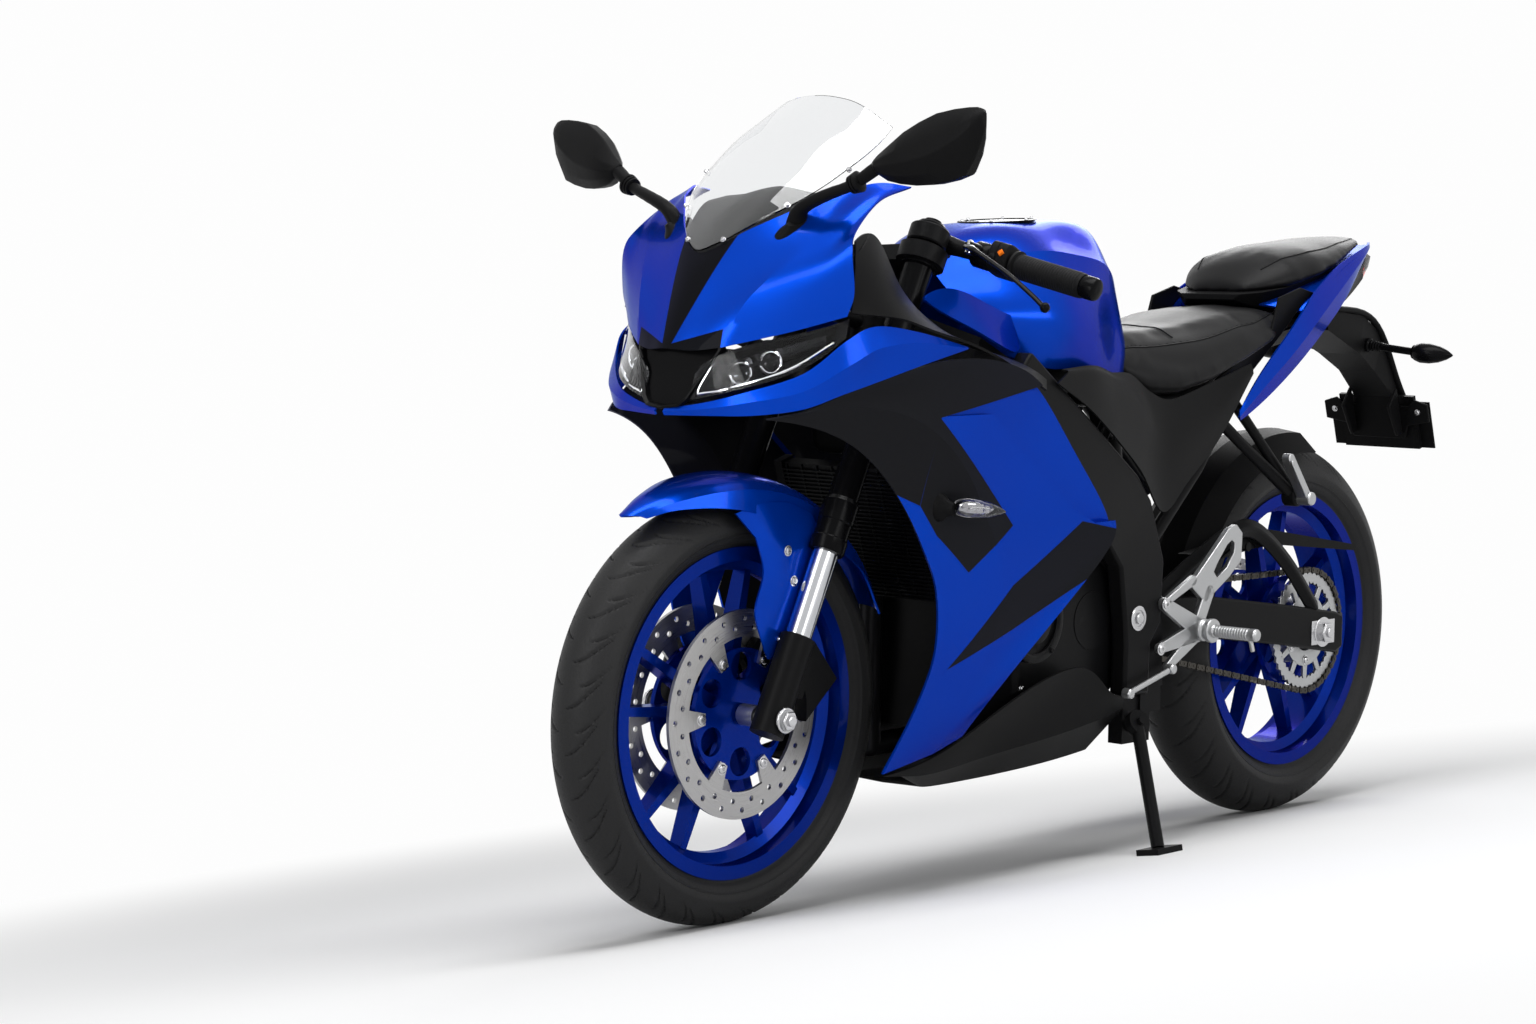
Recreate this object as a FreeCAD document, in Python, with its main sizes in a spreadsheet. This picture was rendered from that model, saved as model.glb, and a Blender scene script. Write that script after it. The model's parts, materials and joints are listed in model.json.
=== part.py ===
"""Light sport motorcycle with a full fairing, parked on its side stand.

The machine is drawn upright, in millimetres: X forward, Y to the rider's left, Z up, with
the origin on the floor half way between the axles. One placement then leans it on its stand.
"""
import FreeCAD
import Part
import math
import os
import re

V = FreeCAD.Vector
doc = FreeCAD.newDocument("sport_motorcycle")

# driving dimensions

DIMENSIONS = {
    # stance
    "wheelbase": 1325, "lean_angle": 9.5, "rake_angle": 25.5, "fork_offset": 45,
    # tyres and rims
    "front_tyre_radius": 296, "front_tyre_width": 100, "front_rim_width": 76,
    "rear_tyre_radius": 314, "rear_tyre_width": 140, "rear_rim_width": 108,
    "rim_flange_radius": 229, "bead_radius": 216, "rim_drop_radius": 201, "rim_wall": 6,
    "spoke_pairs": 5, "hub_radius": 33, "front_hub_width": 84, "rear_hub_width": 120,
    "axle_radius": 9, "bearing_clearance": 0.06,
    # brakes
    "disc_radius": 144.5, "disc_inner_radius": 107, "disc_thickness": 5, "disc_bolt_radius": 82,
    "front_disc_centre": 45, "rear_disc_radius": 110, "rear_disc_inner_radius": 92,
    "disc_hole_radius": 4, "disc_hole_count": 20, "running_gap": 5,
    # fork
    "fork_spread": 200, "fork_lower_radius": 24, "fork_tube_radius": 18.5,
    "fork_upper_radius": 26, "fork_lower_top": 118, "fork_tube_top": 243, "fork_crown": 66,
    "lower_yoke_height": 515, "yoke_thickness": 28, "upper_yoke_height": 682,
    "stem_radius": 14, "head_tube_radius": 27,
    # bars
    "bar_radius": 11, "grip_radius": 16, "grip_length": 118, "bar_length": 250,
    "steering_lock": 25,
    # mudguard
    "mudguard_gap": 32, "shell_thickness": 3.5,
    # frame and engine
    "spar_thickness": 30, "frame_half_width": 130, "engine_half_width": 105,
    "crankcase_length": 345, "crankcase_height": 190,
    "barrel_length": 180, "barrel_width": 160, "barrel_height": 206,
    "subframe_tube_radius": 11, "pivot_bolt_radius": 9,
    # drive
    "chain_half_width": 8, "chain_line": 86, "sprocket_radius": 99, "sprocket_thickness": 6,
    # stand
    "stand_radius": 10, "stand_foot_out": 240, "stand_foot_forward": 50, "stand_swing": 100,
    # seats, plate, lid
    "plate_width": 200, "plate_height": 84, "lid_radius": 46, "lid_thickness": 9,
    # paddock stand bobbins
    "bobbin_radius": 4, "bobbin_depth": 22,
}

sheet = doc.addObject("Spreadsheet::Sheet", "Dimensions")
for row, (alias, value) in enumerate(DIMENSIONS.items(), start=1):
    sheet.set(f"A{row}", alias)
    sheet.set(f"B{row}", str(value))
    sheet.setAlias(f"B{row}", alias)
doc.recompute()


def v(alias):
    """Value of one cell, in millimetres or degrees."""
    return float(sheet.get(alias))


# frames

front_axle = V(v("wheelbase") / 2, 0, v("front_tyre_radius"))
rear_axle = V(-v("wheelbase") / 2, 0, v("rear_tyre_radius"))
rake = math.radians(v("rake_angle"))
lean = math.radians(v("lean_angle"))

upright = FreeCAD.Placement()
front_wheel_frame = FreeCAD.Placement(front_axle, FreeCAD.Rotation())
rear_wheel_frame = FreeCAD.Placement(rear_axle, FreeCAD.Rotation())
# in the fork's own frame Z runs up the fork and X is square to it, from the axle
fork_frame = FreeCAD.Placement(front_axle, FreeCAD.Rotation(V(0, 1, 0), -v("rake_angle")))


def crown_radius(width, radius):
    """Radius of a tyre's round crown."""
    rise = 0.38 * width
    return ((width / 2) ** 2 + rise ** 2) / (2 * rise)


def parked_placement():
    """Lean to the left about the line under the tyres, both crowns on the floor."""
    lift_front = crown_radius(v("front_tyre_width"), 0) * (1 - math.cos(lean))
    lift_rear = crown_radius(v("rear_tyre_width"), 0) * (1 - math.cos(lean))
    pitch = math.degrees((lift_rear - lift_front) / v("wheelbase"))
    turn = FreeCAD.Rotation(V(0, 1, 0), pitch).multiply(
        FreeCAD.Rotation(V(1, 0, 0), -v("lean_angle")))
    return FreeCAD.Placement(V(0, 0, (lift_front + lift_rear) / 2), turn)


park = parked_placement()
nodes = []


def node(label, obj, frame=upright):
    """Name a finished piece, park it and put it on the list of files to write."""
    obj.Label = label
    obj.Placement = park.multiply(frame)
    nodes.append(obj)
    return obj


def shape_node(label, shape, frame=upright):
    """A piece whose surface is lofted or ruled, held by a plain feature."""
    obj = doc.addObject("Part::Feature", label)
    obj.Shape = shape
    return node(label, obj, frame.multiply(shape.Placement))


# building blocks

def bind(obj, **sizes):
    """Tie properties to the sheet: every alias in the text becomes a cell."""
    for name, text in sizes.items():
        formula = re.sub(r"[a-z_]+", lambda word: "Dimensions." + word.group()
                         if word.group() in DIMENSIONS else word.group(), text)
        obj.setExpression(name, formula)
    return obj


ALONG_Y = FreeCAD.Rotation(V(1, 0, 0), -90)
ALONG_X = FreeCAD.Rotation(V(0, 1, 0), 90)
ALONG_Z = FreeCAD.Rotation()


def cylinder(name, radius, height, base, turn=ALONG_Z):
    obj = bind(doc.addObject("Part::Cylinder", name), Radius=radius, Height=height)
    obj.Placement = FreeCAD.Placement(V(*base), turn)
    return obj


def box(name, length, width, height, base, turn=ALONG_Z):
    obj = bind(doc.addObject("Part::Box", name), Length=length, Width=width, Height=height)
    obj.Placement = FreeCAD.Placement(V(*base), turn)
    return obj


def fuse(name, pieces):
    obj = doc.addObject("Part::MultiFuse", name)
    obj.Shapes = pieces
    return obj


def cut(name, base, tool):
    obj = doc.addObject("Part::Cut", name)
    obj.Base, obj.Tool = base, tool
    return obj


def group(name, pieces):
    obj = doc.addObject("Part::Compound", name)
    obj.Links = pieces
    return obj


def mirrored(shape):
    return shape.mirror(V(0, 0, 0), V(0, 1, 0))


def both_sides(shape):
    return Part.makeCompound([shape, mirrored(shape)])


def lengthwise(x):
    """Each end moves with its axle when the wheelbase changes, and the middle stretches."""
    middle = 280
    return x + (v("wheelbase") - 1325) / 2 * max(-1, min(1, x / middle))


def points(*rows):
    """Points of a line, set lengthwise."""
    return [V(lengthwise(x), y, z) for x, y, z in rows]


# how much a length in the middle of the machine stretches, for the sheet's formulas
STRETCHED = "* (1 + (wheelbase - 1325) / 560)"


def curve(line, marks):
    """A smooth curve through the points, at the same marks as its neighbours' points."""
    spline = Part.BSplineCurve()
    spline.interpolate(Points=line, Parameters=marks)
    return spline.toShape()


def outward(solid):
    """The same solid with its faces turned out."""
    if not solid.isValid():
        solid.fix(0.001, 0.001, 0.001)
    return solid if solid.Volume > 0 else solid.reversed()


def closed_solid(faces):
    skin = Part.makeCompound(faces)
    skin.sewShape(0.01)
    return outward(Part.makeSolid(skin.Shells[0]))


def panel(lines, thickness, inside=(200, 0, 560)):
    """A shell between feature lines, thickened towards a point inside the machine."""
    centre = V(*inside)
    normals, facing = [], 0
    for i, line in enumerate(lines):
        below, above = lines[max(i - 1, 0)], lines[min(i + 1, len(lines) - 1)]
        for j, point in enumerate(line):
            along = line[min(j + 1, len(line) - 1)] - line[max(j - 1, 0)]
            normal = along.cross(above[j] - below[j])
            if abs(point.y) < 0.01:
                normal.y = 0
            normals.append(normal.normalize())
            facing += normal.dot((centre - point).normalize())
    depth = math.copysign(thickness, facing)
    inner = [[point + normals[i * len(line) + j] * depth for j, point in enumerate(line)]
             for i, line in enumerate(lines)]
    marks = [0.0]
    for j in range(1, len(lines[0])):
        marks.append(marks[-1] + sum(line[j].distanceToPoint(line[j - 1]) for line in lines))
    outer_curves = [curve(line, marks) for line in lines]
    inner_curves = [curve(line, marks) for line in inner]
    ruled = Part.makeRuledSurface
    faces = [ruled(outer_curves[0], inner_curves[0]), ruled(outer_curves[-1], inner_curves[-1])]
    for i in range(len(lines) - 1):
        faces.append(ruled(outer_curves[i], outer_curves[i + 1]))
        faces.append(ruled(inner_curves[i], inner_curves[i + 1]))
        for end in (0, -1):
            faces.append(ruled(Part.makeLine(lines[i][end], lines[i + 1][end]),
                               Part.makeLine(inner[i][end], inner[i + 1][end])))
    return closed_solid(faces)


def loft(sections, straight=False):
    wires = [Part.makePolygon(list(section) + [section[0]]) for section in sections]
    return outward(Part.makeLoft(wires, True, straight))


def arch_section(x, low, side, crease, top):
    """Half an outline as (y, z) pairs, low edge to centre line, closed over both sides."""
    half = [low, side, crease, top]
    left = [V(lengthwise(x), y, z) for y, z in half]
    return left + [V(p.x, -p.y, p.z) for p in reversed(left)]


def bent_tube(line, radius):
    """A round tube through the points, with ball corners."""
    pieces = []
    for start, end in zip(line, line[1:]):
        run = end.sub(start)
        pieces.append(Part.makeCylinder(radius, run.Length, start, run))
    pieces += [Part.makeSphere(radius, corner) for corner in line[1:-1]]
    return pieces[0].multiFuse(pieces[1:]).removeSplitter()


def beam(stations):
    """A box beam lofted through (centre, height, thickness across Y), square to its path."""
    sections = []
    for i, (centre, height, thick) in enumerate(stations):
        before = stations[max(i - 1, 0)][0]
        after = stations[min(i + 1, len(stations) - 1)][0]
        path = after.sub(before)
        up = V(path.z, 0, -path.x).normalize() * (height / 2)
        side = V(0, thick / 2, 0)
        sections.append([centre + up + side, centre + up - side,
                         centre - up - side, centre - up + side])
    return loft(sections, True)


# wheels

def crown_line(half_width, top, low, steps):
    """Points of a round crown from one shoulder over the top to the other, as (y, radius)."""
    rise = top - low
    big = (half_width ** 2 + rise ** 2) / (2 * rise)
    reach = math.asin(half_width / big)
    turns = [reach * k / steps for k in range(-steps, steps + 1)]
    return [(big * math.sin(turn), top - big + big * math.cos(turn)) for turn in turns]


def ring_solid(profile):
    """A profile of (y, radius) points turned about the axle."""
    loop = [V(0, y, radius) for y, radius in profile]
    return Part.Face(Part.makePolygon(loop + [loop[0]])).revolve(V(0, 0, 0), V(0, 1, 0), 360)


def tyre(radius, width, rim_width):
    """Round-crowned tyre with an open inside, standing on the bead seats."""
    bead, flange = v("bead_radius"), v("rim_flange_radius")
    seat, wall, bead_width = rim_width / 2 - 3, 8, 11
    shoulder = radius - 0.38 * width
    outside = crown_line(width / 2, radius, shoulder, 4)
    inside = crown_line(width / 2 - wall, radius - wall, shoulder - 4, 2)
    return ring_solid(
        [(-seat, bead), (-seat, flange + 3)] + outside + [(seat, flange + 3), (seat, bead),
        (seat - bead_width, bead)] + inside[::-1] + [(bead_width - seat, bead)])


def rim_ring(rim_width):
    """Rim barrel: flanges, bead seats and drop centre, one wall thick."""
    flange, bead, drop = v("rim_flange_radius"), v("bead_radius"), v("rim_drop_radius")
    wall, half = v("rim_wall"), rim_width / 2
    well = half - 22
    outer = [(half, flange), (half - 3, flange), (half - 3, bead), (well, bead),
             (well - 8, drop), (8 - well, drop), (-well, bead), (3 - half, bead),
             (3 - half, flange), (-half, flange)]
    inner = [(-half, bead - wall), (-well, bead - wall), (8 - well, drop - wall),
             (well - 8, drop - wall), (well, bead - wall), (half, bead - wall)]
    return ring_solid(outer + inner)


def spoke(angle, foot_angle):
    """One slim spoke from the hub to the drop centre."""
    reach = v("rim_drop_radius") - v("rim_wall") + 2
    start, end = v("hub_radius") - 6, reach
    def ring_point(radius, degrees):
        a = math.radians(degrees)
        return V(radius * math.cos(a), 0, radius * math.sin(a))
    foot, tip = ring_point(start, foot_angle), ring_point(end, angle)
    run = tip.sub(foot).normalize()
    across = V(-run.z, 0, run.x)
    def section(point, half_width, half_depth):
        a, d = across * half_width, V(0, half_depth, 0)
        return [point + a + d, point - a + d, point - a - d, point + a - d]
    return loft([section(foot, 9, 19), section(tip, 6, 11)], True)


def cast_wheel(rim_width, hub_width, flange_half):
    """Rim, hub and paired spokes as one casting."""
    hub = Part.makeCylinder(v("hub_radius"), hub_width, V(0, -hub_width / 2, 0), V(0, 1, 0))
    pieces = [hub]
    count = int(v("spoke_pairs"))
    for pair in range(count):
        middle = 90 + pair * 360 / count
        pieces += [spoke(middle + 13, middle + 8), spoke(middle - 13, middle - 8)]
    for side in (-1, 1):
        face = Part.makeCylinder(v("disc_bolt_radius") + 9, 7, V(0, side * (flange_half - 3.5) - 3.5, 0),
                                 V(0, 1, 0))
        pieces.append(face)
    reach = max(hub_width / 2, flange_half) + 1
    bore = Part.makeCylinder(v("axle_radius") + v("bearing_clearance"), 2 * reach,
                             V(0, -reach, 0), V(0, 1, 0))
    windows = []
    for step in range(6):
        a = math.radians(step * 60 + 30)
        centre = V(66 * math.cos(a), -hub_width, 66 * math.sin(a))
        windows.append(Part.makeCylinder(20, 2 * hub_width, centre, V(0, 1, 0)))
    core = pieces[-1].fuse(pieces[-2]).cut(Part.makeCompound(windows))
    casting = rim_ring(rim_width).multiFuse(pieces[:-2] + [core])
    return casting.cut(bore)


front_disc_y = v("front_disc_centre") - v("disc_thickness") / 2
front_flange_half = front_disc_y

shape_node("front_tyre", tyre(v("front_tyre_radius"), v("front_tyre_width"),
                              v("front_rim_width")), front_wheel_frame)
shape_node("front_wheel", cast_wheel(v("front_rim_width"), v("front_hub_width"),
                                     front_flange_half), front_wheel_frame)


def bolted_disc(radius, inner, y0):
    """A drilled ring with six tabs that reach in to the bolts on the wheel's flange."""
    thick, bolt_radius = v("disc_thickness"), v("disc_bolt_radius")
    ring = Part.makeCylinder(radius, thick, V(0, y0, 0), V(0, 1, 0)).cut(
        Part.makeCylinder(inner, thick, V(0, y0, 0), V(0, 1, 0)))
    tabs = []
    for step in range(6):
        a = math.radians(step * 60)
        out = V(math.cos(a), 0, math.sin(a))
        side = V(-out.z, 0, out.x)
        root, tip = out * (bolt_radius - 8), out * (inner + 4)
        tab = Part.Face(Part.makePolygon([root + side * 8, tip + side * 16, tip - side * 16,
                                          root - side * 8, root + side * 8]))
        tab = tab.extrude(V(0, thick, 0))
        tab.translate(V(0, y0, 0))
        tabs.append(tab)
    holes = []
    count = int(v("disc_hole_count"))
    row_gap = (radius - inner) / 3
    for row in (1, 2):
        for step in range(count):
            a = 2 * math.pi * (step + row / 2) / count
            place = V(math.cos(a), 0, math.sin(a)) * (inner + row * row_gap) + V(0, y0, 0)
            holes.append(Part.makeCylinder(v("disc_hole_radius"), thick, place, V(0, 1, 0)))
    return ring.multiFuse(tabs).cut(Part.makeCompound(holes))


shape_node("front_discs", Part.makeCompound([
    bolted_disc(v("disc_radius"), v("disc_inner_radius"), front_disc_y),
    bolted_disc(v("disc_radius"), v("disc_inner_radius"), -front_disc_y - v("disc_thickness"))]),
    front_wheel_frame)

shape_node("rear_tyre", tyre(v("rear_tyre_radius"), v("rear_tyre_width"),
                             v("rear_rim_width")), rear_wheel_frame)
rear_flange_half = v("rear_hub_width") / 2 - 4
shape_node("rear_wheel", cast_wheel(v("rear_rim_width"), v("rear_hub_width"),
                                    rear_flange_half), rear_wheel_frame)

# the sprocket stands off the flange on its own carrier
sprocket_y = v("chain_line") - v("sprocket_thickness") / 2
sprocket = fuse("rear_sprocket_blank", [
    cylinder("sprocket_ring", "sprocket_radius - 5", "sprocket_thickness", (0, sprocket_y, 0), ALONG_Y),
    cylinder("sprocket_carrier", "disc_bolt_radius - 20", f"{sprocket_y - rear_flange_half}",
             (0, rear_flange_half, 0), ALONG_Y)])
node("rear_sprocket", cut("rear_sprocket", sprocket, cylinder(
    "sprocket_eye", "hub_radius", "rear_hub_width", (0, 0, 0), ALONG_Y)), rear_wheel_frame)
shape_node("rear_disc", bolted_disc(v("rear_disc_radius"), v("rear_disc_inner_radius"),
                                    -rear_flange_half - v("disc_thickness")), rear_wheel_frame)

# fork, yokes and bars

half_spread = v("fork_spread") / 2


def both_legs(name, radius, height, bottom):
    return group(name, [cylinder(f"{name}_{tag}", radius, height, (0, side * half_spread, bottom))
                        for tag, side in (("left", 1), ("right", -1))])


lowers = fuse("fork_lowers_blank", [
    cylinder("lower_left", "fork_lower_radius", "fork_lower_top + 24", (0, half_spread, -24)),
    cylinder("lower_right", "fork_lower_radius", "fork_lower_top + 24", (0, -half_spread, -24))])
axle_hole = cylinder("axle_hole", "axle_radius", "fork_spread + 80",
                     (0, -half_spread - 40, 0), ALONG_Y)
node("fork_lowers", cut("fork_lowers", lowers, axle_hole), fork_frame)
node("fork_tubes", both_legs("fork_tubes", "fork_tube_radius", "fork_tube_top - fork_lower_top",
                             v("fork_lower_top")), fork_frame)
node("fork_uppers", both_legs("fork_uppers", "fork_upper_radius",
                              "upper_yoke_height + fork_crown - fork_tube_top",
                              v("fork_tube_top")), fork_frame)

axle_half = half_spread + 32
leg_inside = half_spread - v("fork_lower_radius")
spacer_start = v("front_hub_width") / 2 + v("running_gap")
axle_parts = [cylinder("axle_bar", "axle_radius", "fork_spread + 64", (0, -axle_half, 0), ALONG_Y)]
for tag, y in (("left", spacer_start), ("right", -leg_inside)):
    axle_parts.append(cylinder(f"spacer_{tag}", "axle_radius + 6",
                               f"fork_spread / 2 - fork_lower_radius - {spacer_start}",
                               (0, y, 0), ALONG_Y))
for tag, y in (("left", half_spread + v("fork_lower_radius")),
               ("right", -half_spread - v("fork_lower_radius") - 8)):
    axle_parts.append(cylinder(f"nut_{tag}", "axle_radius + 6", "8", (0, y, 0), ALONG_Y))
node("front_axle", fuse("front_axle", axle_parts), fork_frame)

stem_x = -v("fork_offset")
lower_z, upper_z, plate = v("lower_yoke_height"), v("upper_yoke_height"), v("yoke_thickness")


def yoke_blank(name, bottom, height):
    """Leg clamps and stem boss joined by a bridge that narrows towards the stem."""
    rear, front, clamp = stem_x - 22, 14, half_spread + 6
    outline = [V(x, y, bottom) for x, y in (
        (rear, -24), (rear, 24), (-16, clamp), (20, clamp), (front, 30),
        (front, -30), (20, -clamp), (-16, -clamp), (rear, -24))]
    bridge = doc.addObject("Part::Extrusion", name + "_bridge")
    bridge.Base = doc.addObject("Part::Feature", name + "_outline")
    bridge.Base.Shape = Part.makePolygon(outline)
    bridge.Dir, bridge.Solid = V(0, 0, 1), True
    bind(bridge, LengthFwd=height)
    return fuse(name, [
        bridge,
        cylinder(name + "_left", "fork_upper_radius + 9", height, (0, half_spread, bottom)),
        cylinder(name + "_right", "fork_upper_radius + 9", height, (0, -half_spread, bottom))])


stem_length = "upper_yoke_height - lower_yoke_height + yoke_thickness"
yokes = fuse("yokes_blank", [
    yoke_blank("lower_yoke", lower_z, "yoke_thickness"),
    yoke_blank("upper_yoke", upper_z, "yoke_thickness - 4"),
    cylinder("stem", "stem_radius", stem_length, (stem_x, 0, lower_z))])
leg_holes = fuse("leg_holes", [
    cylinder(f"leg_hole_{tag}", "fork_upper_radius", "upper_yoke_height + fork_crown",
             (0, side * half_spread, 100))
    for tag, side in (("left", 1), ("right", -1))])
stem_bore = cylinder("stem_bore", "stem_radius - 5", stem_length + " + 2", (stem_x, 0, lower_z - 1))
node("yokes", cut("yokes", yokes, fuse("yoke_holes", [leg_holes, stem_bore])), fork_frame)

# clip-on bars clamp the fork above the top yoke and slope out, back and down
bar_root = V(-34, half_spread - 2, upper_z + 50)
bar_way = V(-0.138, 0.972, -0.188).normalize()


def clip_on():
    clamp_low, clamp_high = upper_z + plate - 4, upper_z + v("fork_crown") - 4
    ring = Part.makeCylinder(v("fork_upper_radius") + 8, clamp_high - clamp_low,
                             V(0, half_spread, clamp_low))
    arm = Part.makeBox(34, 26, clamp_high - clamp_low,
                       V(bar_root.x - 14, bar_root.y - 13, clamp_low))
    bar = Part.makeCylinder(v("bar_radius"), v("bar_length"), bar_root, bar_way)
    end = bar_root + bar_way * v("bar_length")
    grip = Part.makeCylinder(v("grip_radius"), v("grip_length"),
                             end - bar_way * v("grip_length"), bar_way)
    weight = Part.makeCylinder(v("grip_radius") - 1, 20, end, bar_way)
    hole = Part.makeCylinder(v("fork_upper_radius"), 200, V(0, half_spread, clamp_low - 20))
    return ring.multiFuse([arm, bar, grip, weight]).cut(hole)


bars = clip_on()
shape_node("handlebars", both_sides(bars), fork_frame)


def lever():
    """Perch, switch box and a curved lever in front of the grip."""
    base = bar_root + bar_way * 62
    perch = Part.makeCylinder(v("bar_radius") + 9, 34, base, bar_way)
    blade_root = base + bar_way * 14 + V(26, 0, -4)
    line = [base + bar_way * 14, blade_root, V(4, 215, upper_z + 10), V(-6, 275, upper_z - 18),
            V(-22, 326, upper_z - 52)]
    arm = bent_tube(line, 5)
    ball = Part.makeSphere(8, line[-1])
    box_root = base + bar_way * 36
    switch = Part.makeCylinder(v("bar_radius") + 11, 30, box_root, bar_way)
    whole = perch.multiFuse([arm, ball, switch])
    return whole.cut(bars)


shape_node("controls", both_sides(lever()), fork_frame)

# front calipers

def front_caliper():
    """Block behind the leg that straddles the disc with a running gap each side."""
    block = Part.makeBox(74, 50, 84, V(-37, 0, -42))
    block.rotate(V(0, 0, 0), V(0, 1, 0), -24)
    centre = V(-78, v("front_disc_centre") - 20, 80)
    block.translate(centre)
    slot_low = v("front_disc_centre") - v("disc_thickness") / 2 - v("running_gap")
    slot = Part.makeCylinder(v("disc_radius") + v("running_gap"),
                             v("disc_thickness") + 2 * v("running_gap"),
                             V(0, slot_low, 0), V(0, 1, 0))
    lug = Part.makeBox(60, 14, 60, V(-66, leg_inside - 14 + 6, 50))
    leg = Part.makeCylinder(v("fork_lower_radius"), 200, V(0, half_spread, -24))
    flange = Part.makeCylinder(v("disc_bolt_radius") + 9 + 1.5 * v("running_gap"), 200,
                               V(0, -100, 0), V(0, 1, 0))
    return block.cut(flange).fuse(lug).cut(slot).cut(leg)


shape_node("front_calipers", both_sides(front_caliper()), fork_frame)

# front mudguard

def mudguard():
    """Arched shell over the tyre with a deep panel beside each fork leg."""
    inner = v("front_tyre_radius") + v("mudguard_gap")
    def rib(degrees, crown, side_y, side_drop, skirt_y, skirt_drop):
        a = math.radians(degrees)
        out = V(math.cos(a), 0, math.sin(a))
        return [out * (inner + crown), V(0, side_y * 0.62, 0) + out * (inner + crown - 6),
                V(0, side_y, 0) + out * (inner - side_drop),
                V(0, skirt_y, 0) + out * (inner - skirt_drop)]
    ribs = [rib(56, 8, 14, 3, 20, 10), rib(66, 8, 34, 6, 40, 16), rib(78, 4, 60, 10, 66, 36),
            rib(92, 0, 68, 14, 73, 56), rib(108, -4, 68, 14, 73, 80),
            rib(124, -8, 66, 14, 73, 60), rib(140, -10, 62, 16, 66, 40),
            rib(156, -10, 58, 18, 60, 34)]
    lines = [[r[k] for r in ribs] for k in (3, 2, 1, 0)]
    lines += [[V(p.x, -p.y, p.z) for p in line] for line in reversed(lines[:-1])]
    cover = panel(lines, v("shell_thickness"), (0, 0, 0))
    flap = [(20, 76), (67, 116), (58, 190), (62, 276), (-40, 278), (-30, 200), (-6, 114)]
    y0 = half_spread - v("fork_upper_radius") - 4.5
    outline = [V(x, y0, z) for x, z in flap]
    cheek = Part.Face(Part.makePolygon(outline + [outline[0]])).extrude(V(0, 4, 0))
    leg = Part.makeCylinder(v("fork_lower_radius"), 200, V(0, half_spread, -24))
    boss = Part.makeCylinder(6, 16, V(9, y0 + 1, 98), V(0, 1, 0)).cut(leg)
    cheek = cheek.fuse(boss)
    cheek.rotate(V(0, 0, 0), V(0, 1, 0), -v("rake_angle"))
    return cover.multiFuse([cheek, mirrored(cheek)])


shape_node("front_mudguard", mudguard(), front_wheel_frame)

# main frame

def in_bike(local):
    """A point of the fork's frame in the upright machine's frame."""
    return fork_frame.multVec(local)


head_low = in_bike(V(stem_x, 0, lower_z + plate + 6))
head_high = in_bike(V(stem_x, 0, upper_z - 6))
pivot = points((-113, 0, 381))[0]
spar_y = v("frame_half_width")


def main_frame():
    """Head tube, two box spars down to the swingarm pivot and the engine lugs."""
    way = head_high.sub(head_low)
    tube = Part.makeCylinder(v("head_tube_radius"), way.Length, head_low, way)
    bore = Part.makeCylinder(v("stem_radius") + v("bearing_clearance"), way.Length, head_low, way)
    thick = v("spar_thickness")
    head = head_low + way * 0.45
    neck, bend, knee, hip, foot = points((290, 118, 775), (194, 150, 718), (-20, 134, 545),
                                         (-130, spar_y, 440), (-146, spar_y, 268))
    root = V(head.x - 14, 24, head.z - 12)
    root_height = 0.66 * way.Length
    spar = beam([(root, root_height, thick), (neck, 80, thick), (bend, 74, thick), (knee, 74, thick),
                 (hip, 78, thick), (foot, 62, thick)])
    pieces = [tube, spar, mirrored(spar)]
    span = 2 * spar_y
    for x, z, radius in ((-113, 381, v("pivot_bolt_radius")), (-150, 300, 12), (-92, 470, 14)):
        spot = points((x, -spar_y, z))[0]
        pieces.append(Part.makeCylinder(radius, span, spot, V(0, 1, 0)))
    stand_lug = Part.makeBox(70, 26, 72, points((-150, spar_y - thick / 2, 188))[0])
    foot_drop = Part.makeBox(52, thick, 40, points((-172, spar_y - thick / 2, 232))[0])
    pieces += [stand_lug, foot_drop]
    return pieces[0].multiFuse(pieces[1:]).cut(bore)


frame_shape = main_frame()

# side stand

stand_pivot = points((-92, spar_y + 30, 222))[0]


def on_floor(x, y):
    """The upright height of the leaning machine's floor at this place."""
    lift = crown_radius(v("front_tyre_width"), 0) * (1 - math.cos(lean))
    return (y * math.sin(lean) - lift) / math.cos(lean)


foot_y = v("stand_foot_out")
stand_foot = V(stand_pivot.x + v("stand_foot_forward"), foot_y,
               on_floor(stand_pivot.x, foot_y) + 8)
stand_folded = V(-0.97, 0.10, 0.17)


def side_stand():
    """Eye round the pivot, a leg and a flat foot that lies in the floor plane."""
    leg_way = stand_foot.sub(stand_pivot)
    axis = leg_way.cross(stand_folded).normalize()
    eye = Part.makeCylinder(19, 14, stand_pivot - axis * 7, axis)
    leg = bent_tube([stand_pivot + leg_way * 0.04, stand_pivot + leg_way * 0.5,
                     stand_foot], v("stand_radius"))
    floor_up = V(0, -math.sin(lean), math.cos(lean))
    pad = Part.makeBox(62, 40, 9)
    pad.rotate(V(0, 0, 0), V(1, 0, 0), math.degrees(lean))
    corner = V(stand_foot.x - 28, foot_y - 14, on_floor(stand_foot.x, foot_y - 14))
    pad.translate(corner)
    stand = eye.multiFuse([leg, pad])
    floor = Part.makeBox(600, 600, 60, V(-300, -300, -60))
    floor.rotate(V(0, 0, 0), V(1, 0, 0), math.degrees(lean))
    floor.translate(V(stand_foot.x, foot_y, on_floor(stand_foot.x, foot_y)))
    bolt = Part.makeCylinder(v("bobbin_radius") + 2, 60, stand_pivot - axis * 46, axis)
    return stand.cut(floor).cut(bolt), bolt


stand_shape, stand_bolt = side_stand()
shape_node("side_stand", stand_shape)
frame_shape = frame_shape.fuse(stand_bolt)
shape_node("main_frame", frame_shape)

# engine and what hangs on it

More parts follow.
